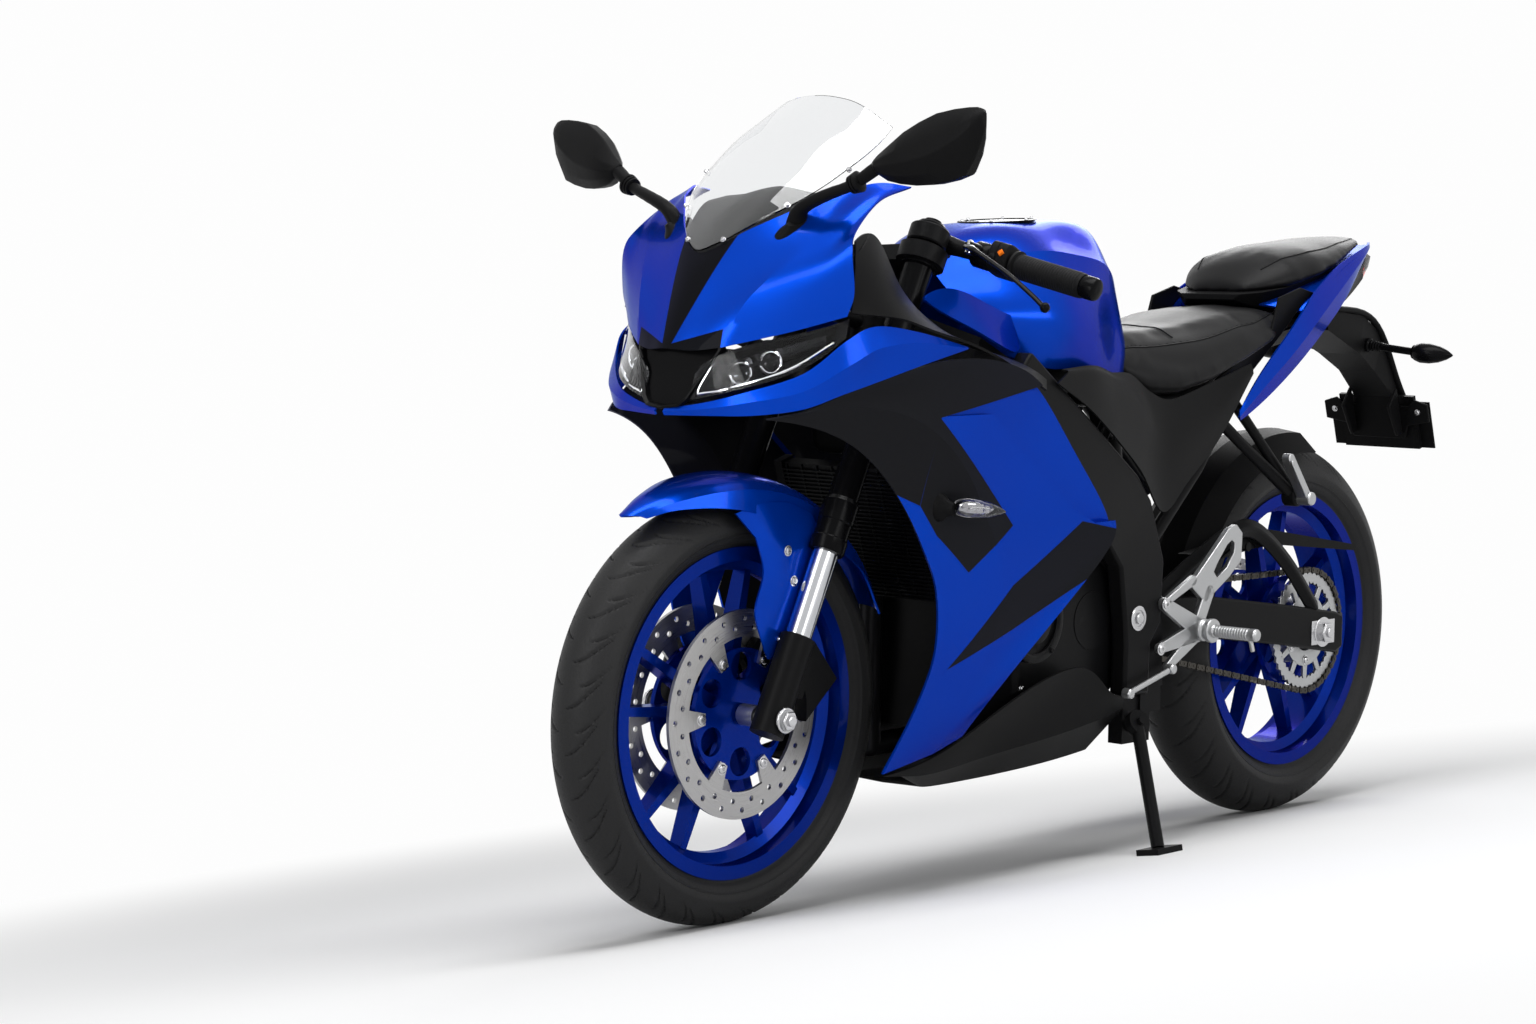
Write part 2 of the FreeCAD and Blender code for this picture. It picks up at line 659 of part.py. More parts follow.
crankcase_base = V(lengthwise(-76), -v("engine_half_width"), 236)
barrel_base = V(lengthwise(92), -v("barrel_width") / 2, 420)
crankcase = box("crankcase", "crankcase_length" + STRETCHED, "engine_half_width * 2",
                "crankcase_height", crankcase_base)
barrel = box("barrel", "barrel_length" + STRETCHED, "barrel_width", "barrel_height", barrel_base)
# the alternator cover has a ring groove and a raised cap in its middle
left_cover = cut("left_cover", cylinder("cover_blank", "62", "44",
                                        (lengthwise(146), v("engine_half_width"), 394), ALONG_Y),
                 cut("cover_groove",
                     cylinder("groove_outer", "48", "6",
                              (lengthwise(146), v("engine_half_width") + 38, 394), ALONG_Y),
                     cylinder("groove_inner", "34", "6",
                              (lengthwise(146), v("engine_half_width") + 38, 394), ALONG_Y)))
right_cover = cylinder("right_cover", "78", "36",
                       (lengthwise(110), -v("engine_half_width") - 36, 380), ALONG_Y)
drive_cover = cylinder("drive_cover", "44", "14",
                       (lengthwise(-28), v("engine_half_width"), 380), ALONG_Y)
rear_mount = cylinder("rear_mount", "17", "frame_half_width * 2 - spar_thickness",
                      (lengthwise(-40), -spar_y + v("spar_thickness") / 2, 500), ALONG_Y)
mount_arm = box("mount_arm", "110" + STRETCHED, "engine_half_width * 1.6", "92",
                (lengthwise(-60), -0.8 * v("engine_half_width"), 424))
node("engine", fuse("engine", [crankcase, barrel, left_cover, right_cover, drive_cover,
                               rear_mount, mount_arm]))

radiator = box("radiator_core", "30", "280", "205", (0, 0, 0))
radiator.Placement = FreeCAD.Placement(points((316, -140, 438))[0], FreeCAD.Rotation(V(0, 1, 0), 18))
radiator_bolt = cylinder("radiator_bolt", "10", "90", points((268, 0, 560))[0], ALONG_X)
node("radiator", cut("radiator", fuse("radiator_blank", [radiator, radiator_bolt]), barrel))

# the crankcase and the barrel again, to trim what meets them
doc.recompute()
crankcase_block = Part.makeBox(crankcase.Length.Value, 2 * v("engine_half_width"),
                               v("crankcase_height"), crankcase_base)
barrel_block = Part.makeBox(barrel.Length.Value, v("barrel_width"), v("barrel_height"), barrel_base)


def exhaust():
    """Header down the front of the engine, along the sump, into a can on the right."""
    route = points((262, -40, 600), (292, -44, 575), (293, -46, 330), (284, -52, 203),
                   (0, -68, 203), (-84, -72, 206), (-262, -176, 288))
    header = bent_tube(route, 17)
    start, end = points((-250, -178, 286), (-610, -196, 392))
    way = end.sub(start)
    can = Part.makeCylinder(50, way.Length, start, way)
    cone = Part.makeCone(20, 50, 60, start - V(*way).normalize() * 60, way)
    outlet = Part.makeCylinder(17, 34, end - V(*way).normalize() * 24, way)
    return header.multiFuse([can, cone, outlet]).cut(Part.makeCylinder(
        13, 60, end - V(*way).normalize() * 40, way))


exhaust_shape = exhaust().cut(barrel_block)
shape_node("exhaust", exhaust_shape)

# swingarm, shock and chain run

def swingarm():
    """Pivot tube, two box arms with an upper brace and the wheel spindle."""
    inner_y = spar_y - v("spar_thickness") / 2 - 3
    tube = Part.makeCylinder(22, 2 * inner_y, V(pivot.x, -inner_y, pivot.z), V(0, 1, 0))
    front, knee, middle, tail = points((-128, 103, 381), (-216, 105, 376), (-330, 108, 360),
                                       (-716, 108, 314))
    arm = beam([(front, 42, 14), (knee, 50, 18), (middle, 62, 24), (tail, 58, 22)])
    brace_front, brace_top, brace_tail = points((-236, 104, 396), (-430, 108, 486), (-640, 108, 344))
    brace = beam([(brace_front, 30, 18), (brace_top, 34, 18), (brace_tail, 24, 18)])
    bridge = Part.makeBox(46, 2 * 100, 46, points((-262, -100, 352))[0])
    spindle = Part.makeCylinder(v("axle_radius"), 2 * 132, V(rear_axle.x, -132, rear_axle.z),
                                V(0, 1, 0))
    nuts = [Part.makeCylinder(v("axle_radius") + 8, 9, V(rear_axle.x, y, rear_axle.z), V(0, 1, 0))
            for y in (119, -128)]
    holder_start = v("rear_hub_width") / 2 + v("running_gap")
    collar = Part.makeCylinder(v("axle_radius") + 5, 97 - holder_start,
                               V(rear_axle.x, holder_start, rear_axle.z), V(0, 1, 0))
    collars = [collar, mirrored(collar)]
    body = tube.multiFuse([arm, mirrored(arm), brace, mirrored(brace), bridge, spindle]
                          + nuts + collars)
    for side in (1, -1):
        spot = points((-600, side * (119.5 - v("bobbin_depth")), 327))[0]
        body = body.cut(Part.makeCylinder(v("bobbin_radius"), v("bobbin_depth") + 1, spot,
                                          V(0, side, 0)))
    bolt = Part.makeCylinder(v("pivot_bolt_radius"), 2 * spar_y, V(pivot.x, -spar_y, pivot.z),
                             V(0, 1, 0))
    return body.cut(bolt)


swingarm_shape = swingarm()
shape_node("swingarm", swingarm_shape)

shock_low, shock_high = points((-239, 0, 392), (-194, 0, 700))
shock = bent_tube([shock_low, shock_high], 17)
coil = bent_tube([shock_low + (shock_high - shock_low) * 0.2,
                  shock_low + (shock_high - shock_low) * 0.82], 30)
shock = shock.fuse(coil).cut(swingarm_shape)


def chain():
    """Two rows of side plates and the rollers between them, round both sprockets."""
    y, half = v("chain_line"), v("chain_half_width")
    big, small = v("sprocket_radius") + 2, 34
    rear, front = V(rear_axle.x, 0, rear_axle.z), points((-40, 0, pivot.z))[0]
    run = front.sub(rear)
    lift = math.asin((big - small) / run.Length)
    base = math.atan2(run.z, run.x)

    def outline(extra, low, high):
        """The area inside the chain's loop, grown all round, between two planes."""
        corners = []
        for sign in (1, -1):
            a = base + sign * (math.pi / 2 - lift)
            out = V(math.cos(a), 0, math.sin(a))
            corners += [rear + out * (big + extra), front + out * (small + extra)]
        loop = [corners[0], corners[1], corners[3], corners[2], corners[0]]
        block = Part.Face(Part.makePolygon(loop)).extrude(V(0, high - low, 0))
        wheels = [Part.makeCylinder(radius + extra, high - low, centre, V(0, 1, 0))
                  for centre, radius in ((rear, big), (front, small))]
        whole = block.multiFuse(wheels)
        whole.translate(V(0, low, 0))
        return whole

    def band(reach, low, high):
        return outline(reach, low, high).cut(outline(-reach, low, high))
    return band(3, y - half + 3, y + half - 3).multiFuse([
        band(5, y - half, y - half + 3), band(5, y + half - 3, y + half)])


shape_node("chain", chain().cut(crankcase_block).cut(frame_shape))

guard_line = points((-310, 88, 452), (-530, 88, 478), (-790, 88, 446))
guard = beam([(guard_line[0], 20, 28), (guard_line[1], 24, 28), (guard_line[2], 10, 24)])
guard_peg = Part.makeCylinder(7, 40, points((-440, 80, 468))[0], V(0, 1, 0))
guard_shape = guard.fuse(guard_peg).cut(swingarm_shape)
shape_node("chain_guard", guard_shape)


def hugger():
    """Low arched guard over the front of the rear tyre, pegged to both arms."""
    inner = v("rear_tyre_radius") + 14
    ribs = []
    for degrees in (8, 26, 44, 62, 80, 96):
        a = math.radians(degrees)
        out = V(math.cos(a), 0, math.sin(a))
        ribs.append([rear_axle + out * (inner + 6), rear_axle + out * inner + V(0, 44, 0),
                     rear_axle + out * (inner - 30) + V(0, 78, 0)])
    lines = [[rib[k] for rib in ribs] for k in range(3)]
    half = panel(lines, v("shell_thickness"), (rear_axle.x, 0, rear_axle.z))
    a = math.radians(12.5)
    spot = rear_axle + V(math.cos(a), 0, math.sin(a)) * (inner - 30) + V(0, 72, 0)
    half = half.fuse(Part.makeCylinder(7, 30, spot, V(0, 1, 0)))
    return half.fuse(mirrored(half)).cut(swingarm_shape).cut(guard_shape)


shape_node("hugger", hugger())

# foot rests

def rearset():
    """Flat cast bracket outside the spar with its peg, heel guard and lever."""
    y0 = spar_y + v("spar_thickness") / 2
    outline = points((-152, y0, 408), (-186, y0, 410), (-252, y0, 392), (-292, y0, 414),
                     (-352, y0, 508), (-380, y0, 506), (-386, y0, 486), (-312, y0, 384),
                     (-292, y0, 350), (-272, y0, 330), (-242, y0, 326), (-200, y0, 290),
                     (-172, y0, 290), (-172, y0, 312), (-214, y0, 346), (-206, y0, 372),
                     (-152, y0, 384))
    slot = points((-308, y0, 412), (-362, y0, 496), (-372, y0, 488), (-320, y0, 402))
    window = points((-226, y0, 380), (-262, y0, 376), (-272, y0, 360), (-230, y0, 356))
    def plate_of(line):
        return Part.Face(Part.makePolygon(line + [line[0]])).extrude(V(0, 9, 0))
    bracket = plate_of(outline).cut(plate_of(slot)).cut(plate_of(window))
    hub = Part.makeCylinder(17, 13, points((-258, y0, 346))[0], V(0, 1, 0))
    peg = bent_tube([points((-262, y0 + 4, 350))[0], points((-256, y0 + 118, 354))[0]], 11)
    lever = bent_tube(points((-262, y0 + 14, 350), (-150, y0 + 22, 300), (-62, y0 + 24, 262)), 5)
    toe = bent_tube(points((-62, y0 + 24, 262), (-62, y0 + 58, 262)), 7)
    return bracket.multiFuse([hub, peg, lever, toe])


left_rearset = rearset()
shape_node("rearset_left", left_rearset)
shape_node("rearset_right", mirrored(left_rearset).cut(exhaust_shape))


def pillion_bracket():
    """Strut below the seat with a folded peg."""
    top_a, top_b, low, peg_end = points((-300, 118, 704), (-370, 118, 716), (-517, 150, 548),
                                        (-452, 176, 618))
    bracket = bent_tube([top_a, low], 9).fuse(bent_tube([top_b, low], 9))
    return bracket.fuse(bent_tube([low, V(low.x, 172, low.z + 2), peg_end], 11))


bracket_shape = pillion_bracket()

# subframe and seats

def subframe():
    """Two top rails and two struts that carry the seats and the tail."""
    radius = v("subframe_tube_radius")
    top = bent_tube(points((-10, 122, 620), (-90, 105, 700), (-260, 100, 708), (-520, 88, 808),
                           (-600, 84, 871), (-830, 50, 931)), radius)
    strut = bent_tube(points((-140, 124, 470), (-300, 112, 600), (-470, 100, 786)), radius)
    crosses = [Part.makeCylinder(radius, 2 * y, points((x, -y, z))[0], V(0, 1, 0))
               for x, y, z in ((-196, 102, 704), (-520, 88, 808), (-820, 51, 928))]
    return top.multiFuse([mirrored(top), strut, mirrored(strut)] + crosses)


subframe_shape = subframe().cut(frame_shape)
shape_node("subframe", subframe_shape)
shape_node("rear_shock", shock.cut(subframe_shape))
shape_node("pillion_pegs", both_sides(bracket_shape).cut(subframe_shape))


def tank():
    """Closed tank body, narrow between the bars and wide at the knees."""
    return loft([arch_section(*row) for row in (
        (284, (98, 800), (112, 846), (60, 898), (28, 930)),
        (232, (140, 786), (154, 846), (92, 918), (48, 950)),
        (150, (166, 764), (186, 838), (138, 936), (68, 970)),
        (50, (160, 766), (176, 838), (134, 932), (68, 978)),
        (-36, (138, 750), (152, 822), (120, 922), (64, 980)),
        (-84, (122, 752), (128, 800), (100, 892), (56, 962)),
        (-108, (100, 756), (104, 798), (80, 862), (44, 906)))])


lid_centre = points((72, 0, 976))[0]
tank_shape = tank()
lid_tilt = FreeCAD.Rotation(V(0, 1, 0), 4)
lid_frame = FreeCAD.Placement(lid_centre, lid_tilt)
pocket = Part.makeCylinder(v("lid_radius") + 5, 60, V(0, 0, -12))
pocket = pocket.fuse(Part.makeBox(22, 44, 60, V(v("lid_radius") - 2, -22, -12)))
pocket.Placement = lid_frame
neck_hole = Part.makeCylinder(24, 14, V(0, 0, -26))
neck_hole.Placement = lid_frame
keep_clear = Part.makeCylinder(v("head_tube_radius") + 8, 200, head_low, head_high.sub(head_low))
tank_shape = tank_shape.cut(pocket).cut(neck_hole).cut(frame_shape).cut(keep_clear)
shape_node("fuel_tank", tank_shape)

# the lid turns on a small hinge at its front edge
hinge_x = v("lid_radius") + 8
lid_disc = cylinder("lid_disc", "lid_radius", "lid_thickness", (0, 0, -6))
lid_tab = box("lid_tab", "16", "16", "6", (v("lid_radius") - 5, -8, -2))
lid_knuckle = cylinder("lid_knuckle", "4.5", "16", (hinge_x, -8, 1), ALONG_Y)
lid_bore = cylinder("lid_bore", "2.56", "20", (hinge_x, -10, 1), ALONG_Y)
node("fuel_lid", cut("fuel_lid", fuse("lid_blank", [lid_disc, lid_tab, lid_knuckle]), lid_bore),
     lid_frame)
ears = [Part.makeBox(12, 8, 13, V(hinge_x - 6, y, -12)) for y in (-21, 13)]
pin = Part.makeCylinder(2.5, 40, V(hinge_x, -20, 1), V(0, 1, 0))
hinge = ears[0].multiFuse([ears[1], pin])
hinge.Placement = lid_frame
shape_node("lid_hinge", hinge.cut(tank_shape))

rider_seat = loft([arch_section(*row) for row in (
    (-112, (100, 744), (104, 770), (72, 800), (30, 806)),
    (-160, (116, 720), (124, 760), (88, 808), (34, 816)),
    (-270, (132, 730), (142, 774), (104, 818), (40, 826)),
    (-400, (136, 762), (146, 800), (108, 840), (42, 846)),
    (-500, (128, 803), (136, 822), (100, 848), (40, 852)),
    (-546, (98, 824), (104, 838), (72, 850), (30, 852)))])
rider_seat = rider_seat.cut(subframe_shape).cut(tank_shape)
shape_node("rider_seat", rider_seat)

pillion_seat = loft([arch_section(*row) for row in (
    (-508, (56, 868), (62, 882), (46, 900), (20, 906)),
    (-566, (104, 878), (112, 900), (82, 936), (34, 946)),
    (-640, (112, 896), (120, 916), (92, 950), (36, 958)),
    (-740, (96, 924), (104, 938), (78, 962), (32, 967)),
    (-848, (56, 950), (64, 958), (46, 970), (20, 973)),
    (-884, (30, 958), (34, 962), (24, 970), (10, 972)))])

# body panels

thin = v("shell_thickness")


def half_panel(*lines, inside=(200, 0, 560), thickness=None):
    return panel([points(*line) for line in lines], thickness or thin, inside)


def nose_cowl():
    """Painted nose from the headlights up to the screen and back to the rear edge."""
    return half_panel(
        ((773, 0, 799), (750, 76, 796), (694, 150, 819), (643, 215, 842)),
        ((752, 0, 840), (727, 82, 846), (680, 154, 870), (640, 219, 868)),
        ((730, 0, 886), (700, 92, 898), (655, 162, 932), (636, 214, 922)),
        ((709, 0, 923), (660, 73, 968), (576, 152, 1020), (495, 190, 1016)),
        inside=(500, 0, 800))


nose = nose_cowl()
nose = nose.fuse(mirrored(nose)).removeSplitter()
shape_node("nose_cowl", nose)

screen = half_panel(
    ((712, 0, 926), (640, 0, 1010), (560, 0, 1088), (483, 0, 1145)),
    ((690, 42, 948), (622, 74, 1024), (545, 86, 1086), (474, 72, 1134)),
    ((660, 75, 972), (598, 122, 1014), (530, 138, 1058), (462, 126, 1098)),
    inside=(400, 0, 900), thickness=3)
screen = screen.fuse(mirrored(screen)).removeSplitter().cut(nose)
shape_node("windscreen", screen)


def headlight_body(thickness, size=1.0):
    """Slanted lamp behind the cowl's lower edge, all of it or shrunk about its middle."""
    middle = V(706, 134, 782)
    def shrunk(*line):
        return [middle + (V(*row) - middle) * size for row in line]
    lines = [
        shrunk((762, 44, 762), (746, 80, 790), (691, 150, 815), (634, 204, 838)),
        shrunk((768, 44, 742), (744, 104, 752), (693, 165, 780), (640, 206, 824)),
        shrunk((770, 44, 727), (744, 110, 744), (692, 170, 771), (644, 207, 814))]
    return half_panel(*lines, inside=(500, 0, 820), thickness=thickness)


# a clear cover closes the front of each hollow housing
lamp = headlight_body(34).cut(nose)
lamp_cover = headlight_body(2.5).cut(nose)
housing = lamp.cut(lamp_cover).cut(headlight_body(28, 0.84))
shape_node("headlights", both_sides(housing))
shape_node("headlight_covers", both_sides(lamp_cover))

intake = half_panel(
    ((772, 0, 797), (778, 0, 756), (783, 0, 716)),
    ((758, 43, 789), (770, 43, 756), (777, 42, 722)),
    inside=(500, 0, 760), thickness=5)
intake = intake.fuse(mirrored(intake)).cut(nose).cut(both_sides(lamp))
shape_node("nose_intake", intake)

wing = half_panel(
    ((782, 10, 716), (745, 114, 740), (693, 176, 766), (646, 212, 812), (560, 226, 832),
     (440, 240, 806)),
    ((782, 12, 706), (735, 130, 708), (690, 176, 716), (640, 196, 738), (560, 228, 764),
     (470, 240, 784)),
    inside=(500, 0, 780))
wing = wing.cut(lamp).cut(intake).cut(nose)
wings = wing.fuse(mirrored(wing))
shape_node("nose_wings", both_sides(wing))

cockpit = half_panel(
    ((634, 214, 940), (560, 192, 940), (504, 182, 880), (462, 192, 840), (398, 200, 808),
     (305, 214, 782), (240, 230, 752)),
    ((640, 214, 846), (590, 224, 842), (540, 228, 836), (490, 234, 822), (430, 240, 808),
     (340, 240, 778), (252, 240, 738)),
    inside=(450, 0, 800))
cockpit = cockpit.cut(nose).cut(wings)
shape_node("cockpit_sides", both_sides(cockpit))

# the tank's painted flanks run on under the bars to a point beside each fork leg
shroud = half_panel(
    ((200, 150, 836), (250, 157, 846), (300, 158, 862), (350, 160, 876), (395, 160, 878),
     (431, 163, 868)),
    ((200, 150, 800), (250, 178, 790), (300, 188, 803), (350, 180, 825), (400, 170, 846),
     (432, 165, 863)),
    inside=(300, 0, 840)).cut(tank_shape)
shape_node("tank_shrouds", both_sides(shroud))

def fairing_side():
    """Side panel with a sunk outlet that runs out over its rear edge."""
    lines = (
        ((735, 150, 704), (659, 186, 688), (589, 203, 650), (527, 214, 583), (482, 219, 510),
         (453, 214, 453), (440, 204, 395), (437, 186, 337), (456, 164, 266), (487, 150, 206)),
        ((700, 178, 712), (600, 214, 720), (500, 236, 690), (420, 242, 620), (368, 238, 545),
         (330, 230, 480), (322, 216, 410), (330, 196, 345), (350, 172, 276), (376, 146, 222)),
        ((646, 202, 736), (470, 242, 782), (340, 243, 776), (250, 240, 736), (170, 248, 640),
         (100, 252, 548), (106, 248, 508), (166, 236, 446), (250, 208, 356), (318, 152, 242)))
    inside, depth = (300, 0, 480), 14
    outline = points((470, 150, 706), (371, 150, 707), (344, 150, 684), (192, 150, 567),
                     (143, 150, 545), (60, 150, 548), (60, 150, 700), (200, 150, 790),
                     (262, 150, 744))
    mouth = Part.Face(Part.makePolygon(outline + [outline[0]]))
    reach = V(0, 150, 0)
    rim = mouth.makeOffset2D(thin, 2).extrude(reach).cut(mouth.extrude(reach))
    skin = half_panel(*lines, inside=inside).cut(mouth.extrude(reach))
    deep = half_panel(*lines, inside=inside, thickness=depth + thin)
    floor = deep.cut(half_panel(*lines, inside=inside, thickness=depth)).common(mouth.extrude(reach))
    return skin.multiFuse([floor, deep.common(rim)])


fairing = fairing_side().cut(wings).cut(cockpit)
shape_node("fairing_left", fairing)
shape_node("fairing_right", mirrored(fairing))

pan = half_panel(
    ((486, 148, 202), (372, 144, 216), (262, 156, 262), (47, 158, 318), (-19, 156, 282),
     (-70, 152, 268)),
    ((444, 146, 198), (372, 138, 192), (270, 130, 198), (122, 138, 214), (30, 144, 226),
     (-70, 148, 244)),
    ((328, 80, 163), (304, 78, 159), (230, 76, 158), (122, 76, 160), (30, 76, 164),
     (-70, 80, 174)),
    ((314, 0, 157), (290, 0, 154), (230, 0, 152), (122, 0, 154), (30, 0, 158),
     (-70, 0, 168)),
    inside=(200, 0, 420))
pan = pan.fuse(mirrored(pan)).removeSplitter().cut(both_sides(fairing))
shape_node("belly_pan", pan)

# tail

tail = half_panel(
    ((-366, 146, 690), (-430, 149, 757), (-504, 146, 814), (-590, 138, 879), (-715, 110, 929),
     (-846, 70, 956), (-900, 40, 962)),
    ((-362, 150, 680), (-440, 152, 735), (-520, 150, 786), (-612, 138, 842), (-716, 116, 896),
     (-838, 76, 944), (-898, 42, 954)),
    ((-372, 144, 674), (-455, 142, 712), (-550, 134, 762), (-635, 122, 810), (-718, 108, 860),
     (-810, 78, 912), (-890, 44, 944)),
    inside=(-600, 0, 860))
deck = half_panel(
    ((-512, 0, 862), (-600, 0, 884), (-720, 0, 914), (-846, 0, 944), (-900, 0, 956)),
    ((-512, 60, 860), (-600, 96, 884), (-720, 92, 918), (-846, 60, 946), (-900, 34, 958)),
    ((-560, 128, 846), (-605, 134, 874), (-716, 112, 920), (-846, 70, 950), (-900, 40, 960)),
    inside=(-600, 0, 600))
tail_side = tail.fuse(deck)
tail_shape = tail_side.fuse(mirrored(tail_side)).cut(rider_seat).cut(subframe_shape)
tail_shape = tail_shape.cut(pillion_seat)
shape_node("tail_cowl", tail_shape)
shape_node("pillion_seat", pillion_seat)

undertray = half_panel(
    ((-470, 100, 800), (-600, 100, 822), (-720, 92, 856), (-820, 66, 900), (-880, 46, 934)),
    ((-470, 60, 770), (-600, 60, 790), (-720, 52, 820), (-820, 44, 860), (-890, 36, 900)),
    ((-470, 0, 764), (-600, 0, 784), (-720, 0, 812), (-820, 0, 850), (-890, 0, 890)),
    inside=(-650, 0, 900))
undertray = undertray.fuse(mirrored(undertray)).cut(subframe_shape).cut(rider_seat)
undertray = undertray.cut(tail_shape)
shape_node("undertray", undertray)

lamp_block = loft([arch_section(*row) for row in (
    (-862, (34, 888), (42, 908), (46, 930), (22, 942)),
    (-884, (34, 894), (42, 914), (44, 934), (22, 946)),
    (-906, (28, 906), (36, 920), (40, 938), (20, 951)))])
shape_node("tail_light", lamp_block.cut(tail_shape).cut(undertray))


def plate_holder():
    """Arm from the undertray down to the number plate, with the signal stalks' root."""
    arm = loft([[V(x, y, z) for x, y, z in row] for row in (
        points((-770, 46, 846), (-770, -46, 846), (-770, -46, 812), (-770, 46, 812)),
        points((-886, 42, 836), (-886, -42, 836), (-880, -42, 770), (-880, 42, 770)),
        points((-962, 36, 800), (-962, -36, 800), (-936, -36, 740), (-936, 36, 740)),
        points((-1020, 40, 700), (-1020, -40, 700), (-1000, -40, 690), (-1000, 40, 690)))], True)
    back = Part.makeBox(8, 150, 96, V(0, -75, 0))
    back.rotate(V(0, 0, 0), V(0, 1, 0), 17)
    back.translate(points((-1036, 0, 606))[0])
    return arm.fuse(back).cut(undertray).cut(tail_shape)


holder = plate_holder()
plate_shape = Part.makeBox(3, v("plate_width"), v("plate_height"), V(-3, -v("plate_width") / 2, 0))
plate_shape.rotate(V(0, 0, 0), V(0, 1, 0), 17)
plate_shape.translate(points((-1036, 0, 606))[0])
shape_node("plate_holder", holder)
shape_node("number_plate", plate_shape)

rear_signal = bent_tube(points((-905, 34, 786), (-900, 120, 776)), 8).fuse(
    loft([
        points((-900, 118, 789), (-912, 118, 776), (-900, 118, 763), (-888, 118, 776)),
        points((-912, 160, 793), (-930, 160, 774), (-912, 160, 756), (-894, 160, 774)),
        points((-914, 202, 780), (-920, 202, 773), (-914, 202, 766), (-908, 202, 773))], True))
rear_signal = rear_signal.cut(holder)
shape_node("rear_signals", both_sides(rear_signal))

front_signal = loft([
    points((482, 216, 590), (462, 216, 594), (452, 216, 572), (474, 216, 566)),
    points((462, 250, 590), (440, 250, 592), (436, 250, 566), (458, 250, 566)),
    points((446, 280, 582), (402, 280, 586), (386, 280, 564), (430, 280, 562))], True)
shape_node("front_signals", both_sides(front_signal.cut(fairing)))

# side covers, stays, instruments, mirrors

cover = half_panel(
    ((240, 196, 742), (134, 186, 758), (60, 176, 764), (-30, 152, 742), (-90, 140, 724),
     (-160, 136, 706), (-260, 140, 714), (-372, 144, 744)),
    ((200, 190, 700), (110, 182, 700), (40, 170, 690), (-40, 156, 672), (-100, 150, 660),
     (-180, 148, 640), (-270, 148, 664), (-390, 150, 738)),
    ((176, 184, 668), (96, 176, 640), (10, 162, 600), (-60, 154, 590), (-120, 152, 570),
     (-190, 150, 566), (-290, 150, 630), (-400, 150, 730)),
    inside=(-60, 0, 680))
cover = cover.cut(frame_shape).cut(tank_shape).cut(rider_seat).cut(subframe_shape)
cover = cover.cut(both_sides(tail)).cut(both_sides(bracket_shape)).cut(both_sides(fairing))
shape_node("side_covers", both_sides(cover))


def front_stay():
    """Tubes from the head tube out to the nose, the lamps, the screen and the mirrors."""
    crown = head_low + (head_high - head_low) * 0.45
    root = V(crown.x + v("head_tube_radius") - 3, 0, crown.z + 6)
    spine_tube = bent_tube([root] + points((560, 0, 868), (700, 0, 850)), 11)
    fork_l = bent_tube(points((560, 0, 868), (606, 90, 930), (640, 118, 940)), 8)
    lamp_arm = bent_tube(points((640, 0, 858), (690, 84, 806), (728, 104, 772)), 8)
    meter = bent_tube(points((520, 0, 868), (560, 0, 960)), 8)
    parts = [spine_tube, fork_l, mirrored(fork_l), lamp_arm, mirrored(lamp_arm), meter]
    return parts[0].multiFuse(parts[1:]).cut(frame_shape)


stay = front_stay().cut(nose).cut(both_sides(lamp))
shape_node("front_stay", stay)

meter_box = Part.makeBox(36, 150, 84, V(0, -75, 0))
meter_box.rotate(V(0, 0, 0), V(0, 1, 0), -36)
meter_box.translate(points((566, 0, 944))[0])
shape_node("instruments", meter_box.cut(stay).cut(screen))


def mirror():
    """Two-part arm from the cowl with a wide housing."""
    base, knee, root = points((652, 100, 950), (636, 152, 992), (616, 262, 1062))
    arm = bent_tube([base, knee, root], 9)
    foot = Part.makeCylinder(20, 14, base - V(0, 0, 5), V(0.35, 0.3, 1))
    housing = loft([
        points((648, 240, 1046), (640, 240, 1066), (604, 240, 1068), (600, 240, 1042)),
        points((648, 274, 1030), (636, 274, 1100), (590, 274, 1102), (592, 274, 1026)),
        points((634, 344, 1030), (622, 344, 1114), (582, 344, 1114), (584, 344, 1026)),
        points((612, 396, 1060), (604, 396, 1108), (582, 396, 1108), (584, 396, 1058))], True)
    return arm.multiFuse([foot, housing]).cut(nose).cut(screen).cut(stay)


shape_node("mirrors", both_sides(mirror()))

def peg_between(start, end, radius, *neighbours):
    """A peg from a carrier out to a panel, trimmed to what lies between the two."""
    start, end = points(start, end)
    peg = bent_tube([start, end], radius)
    for neighbour in neighbours:
        peg = peg.cut(neighbour)
    return min(peg.Solids, key=lambda solid: solid.CenterOfMass.distanceToPoint(start))


engine_block = crankcase_block.fuse(barrel_block)
pegs = [
    peg_between((230, 60, 590), (300, 300, 560), 7, engine_block, fairing),
    peg_between((200, 90, 290), (345, 240, 280), 7, engine_block, fairing),
    peg_between((250, 130, 752), (330, 300, 790), 7, frame_shape, cockpit),
    peg_between((-20, 134, 548), (-60, 240, 610), 6, frame_shape, cover),
    peg_between((-520, 88, 808), (-560, 200, 800), 6, subframe_shape, tail, undertray),
    peg_between((150, 20, 246), (150, 20, 100), 7, engine_block, pan)]
shape_node("panel_stays", both_sides(Part.makeCompound(pegs)))


# write

doc.recompute()

# the origin goes to the floor under the middle of the parked machine's box
whole = Part.makeCompound([obj.Shape for obj in nodes]).optimalBoundingBox(False, False)
centring = FreeCAD.Placement(V(-whole.Center.x, -whole.Center.y, 0), FreeCAD.Rotation())
for obj in nodes:
    obj.Placement = centring.multiply(obj.Placement)
doc.recompute()

os.makedirs("parts", exist_ok=True)
for obj in nodes:
    bad = [state for state in obj.State if state in ("Invalid", "Error")]
    if bad or not obj.Shape.isValid():
        raise RuntimeError(f"{obj.Label}: {bad or 'shape not valid'}")
    obj.Shape.exportStep(f"parts/{obj.Label}.step")
print(len(nodes), "pieces written")
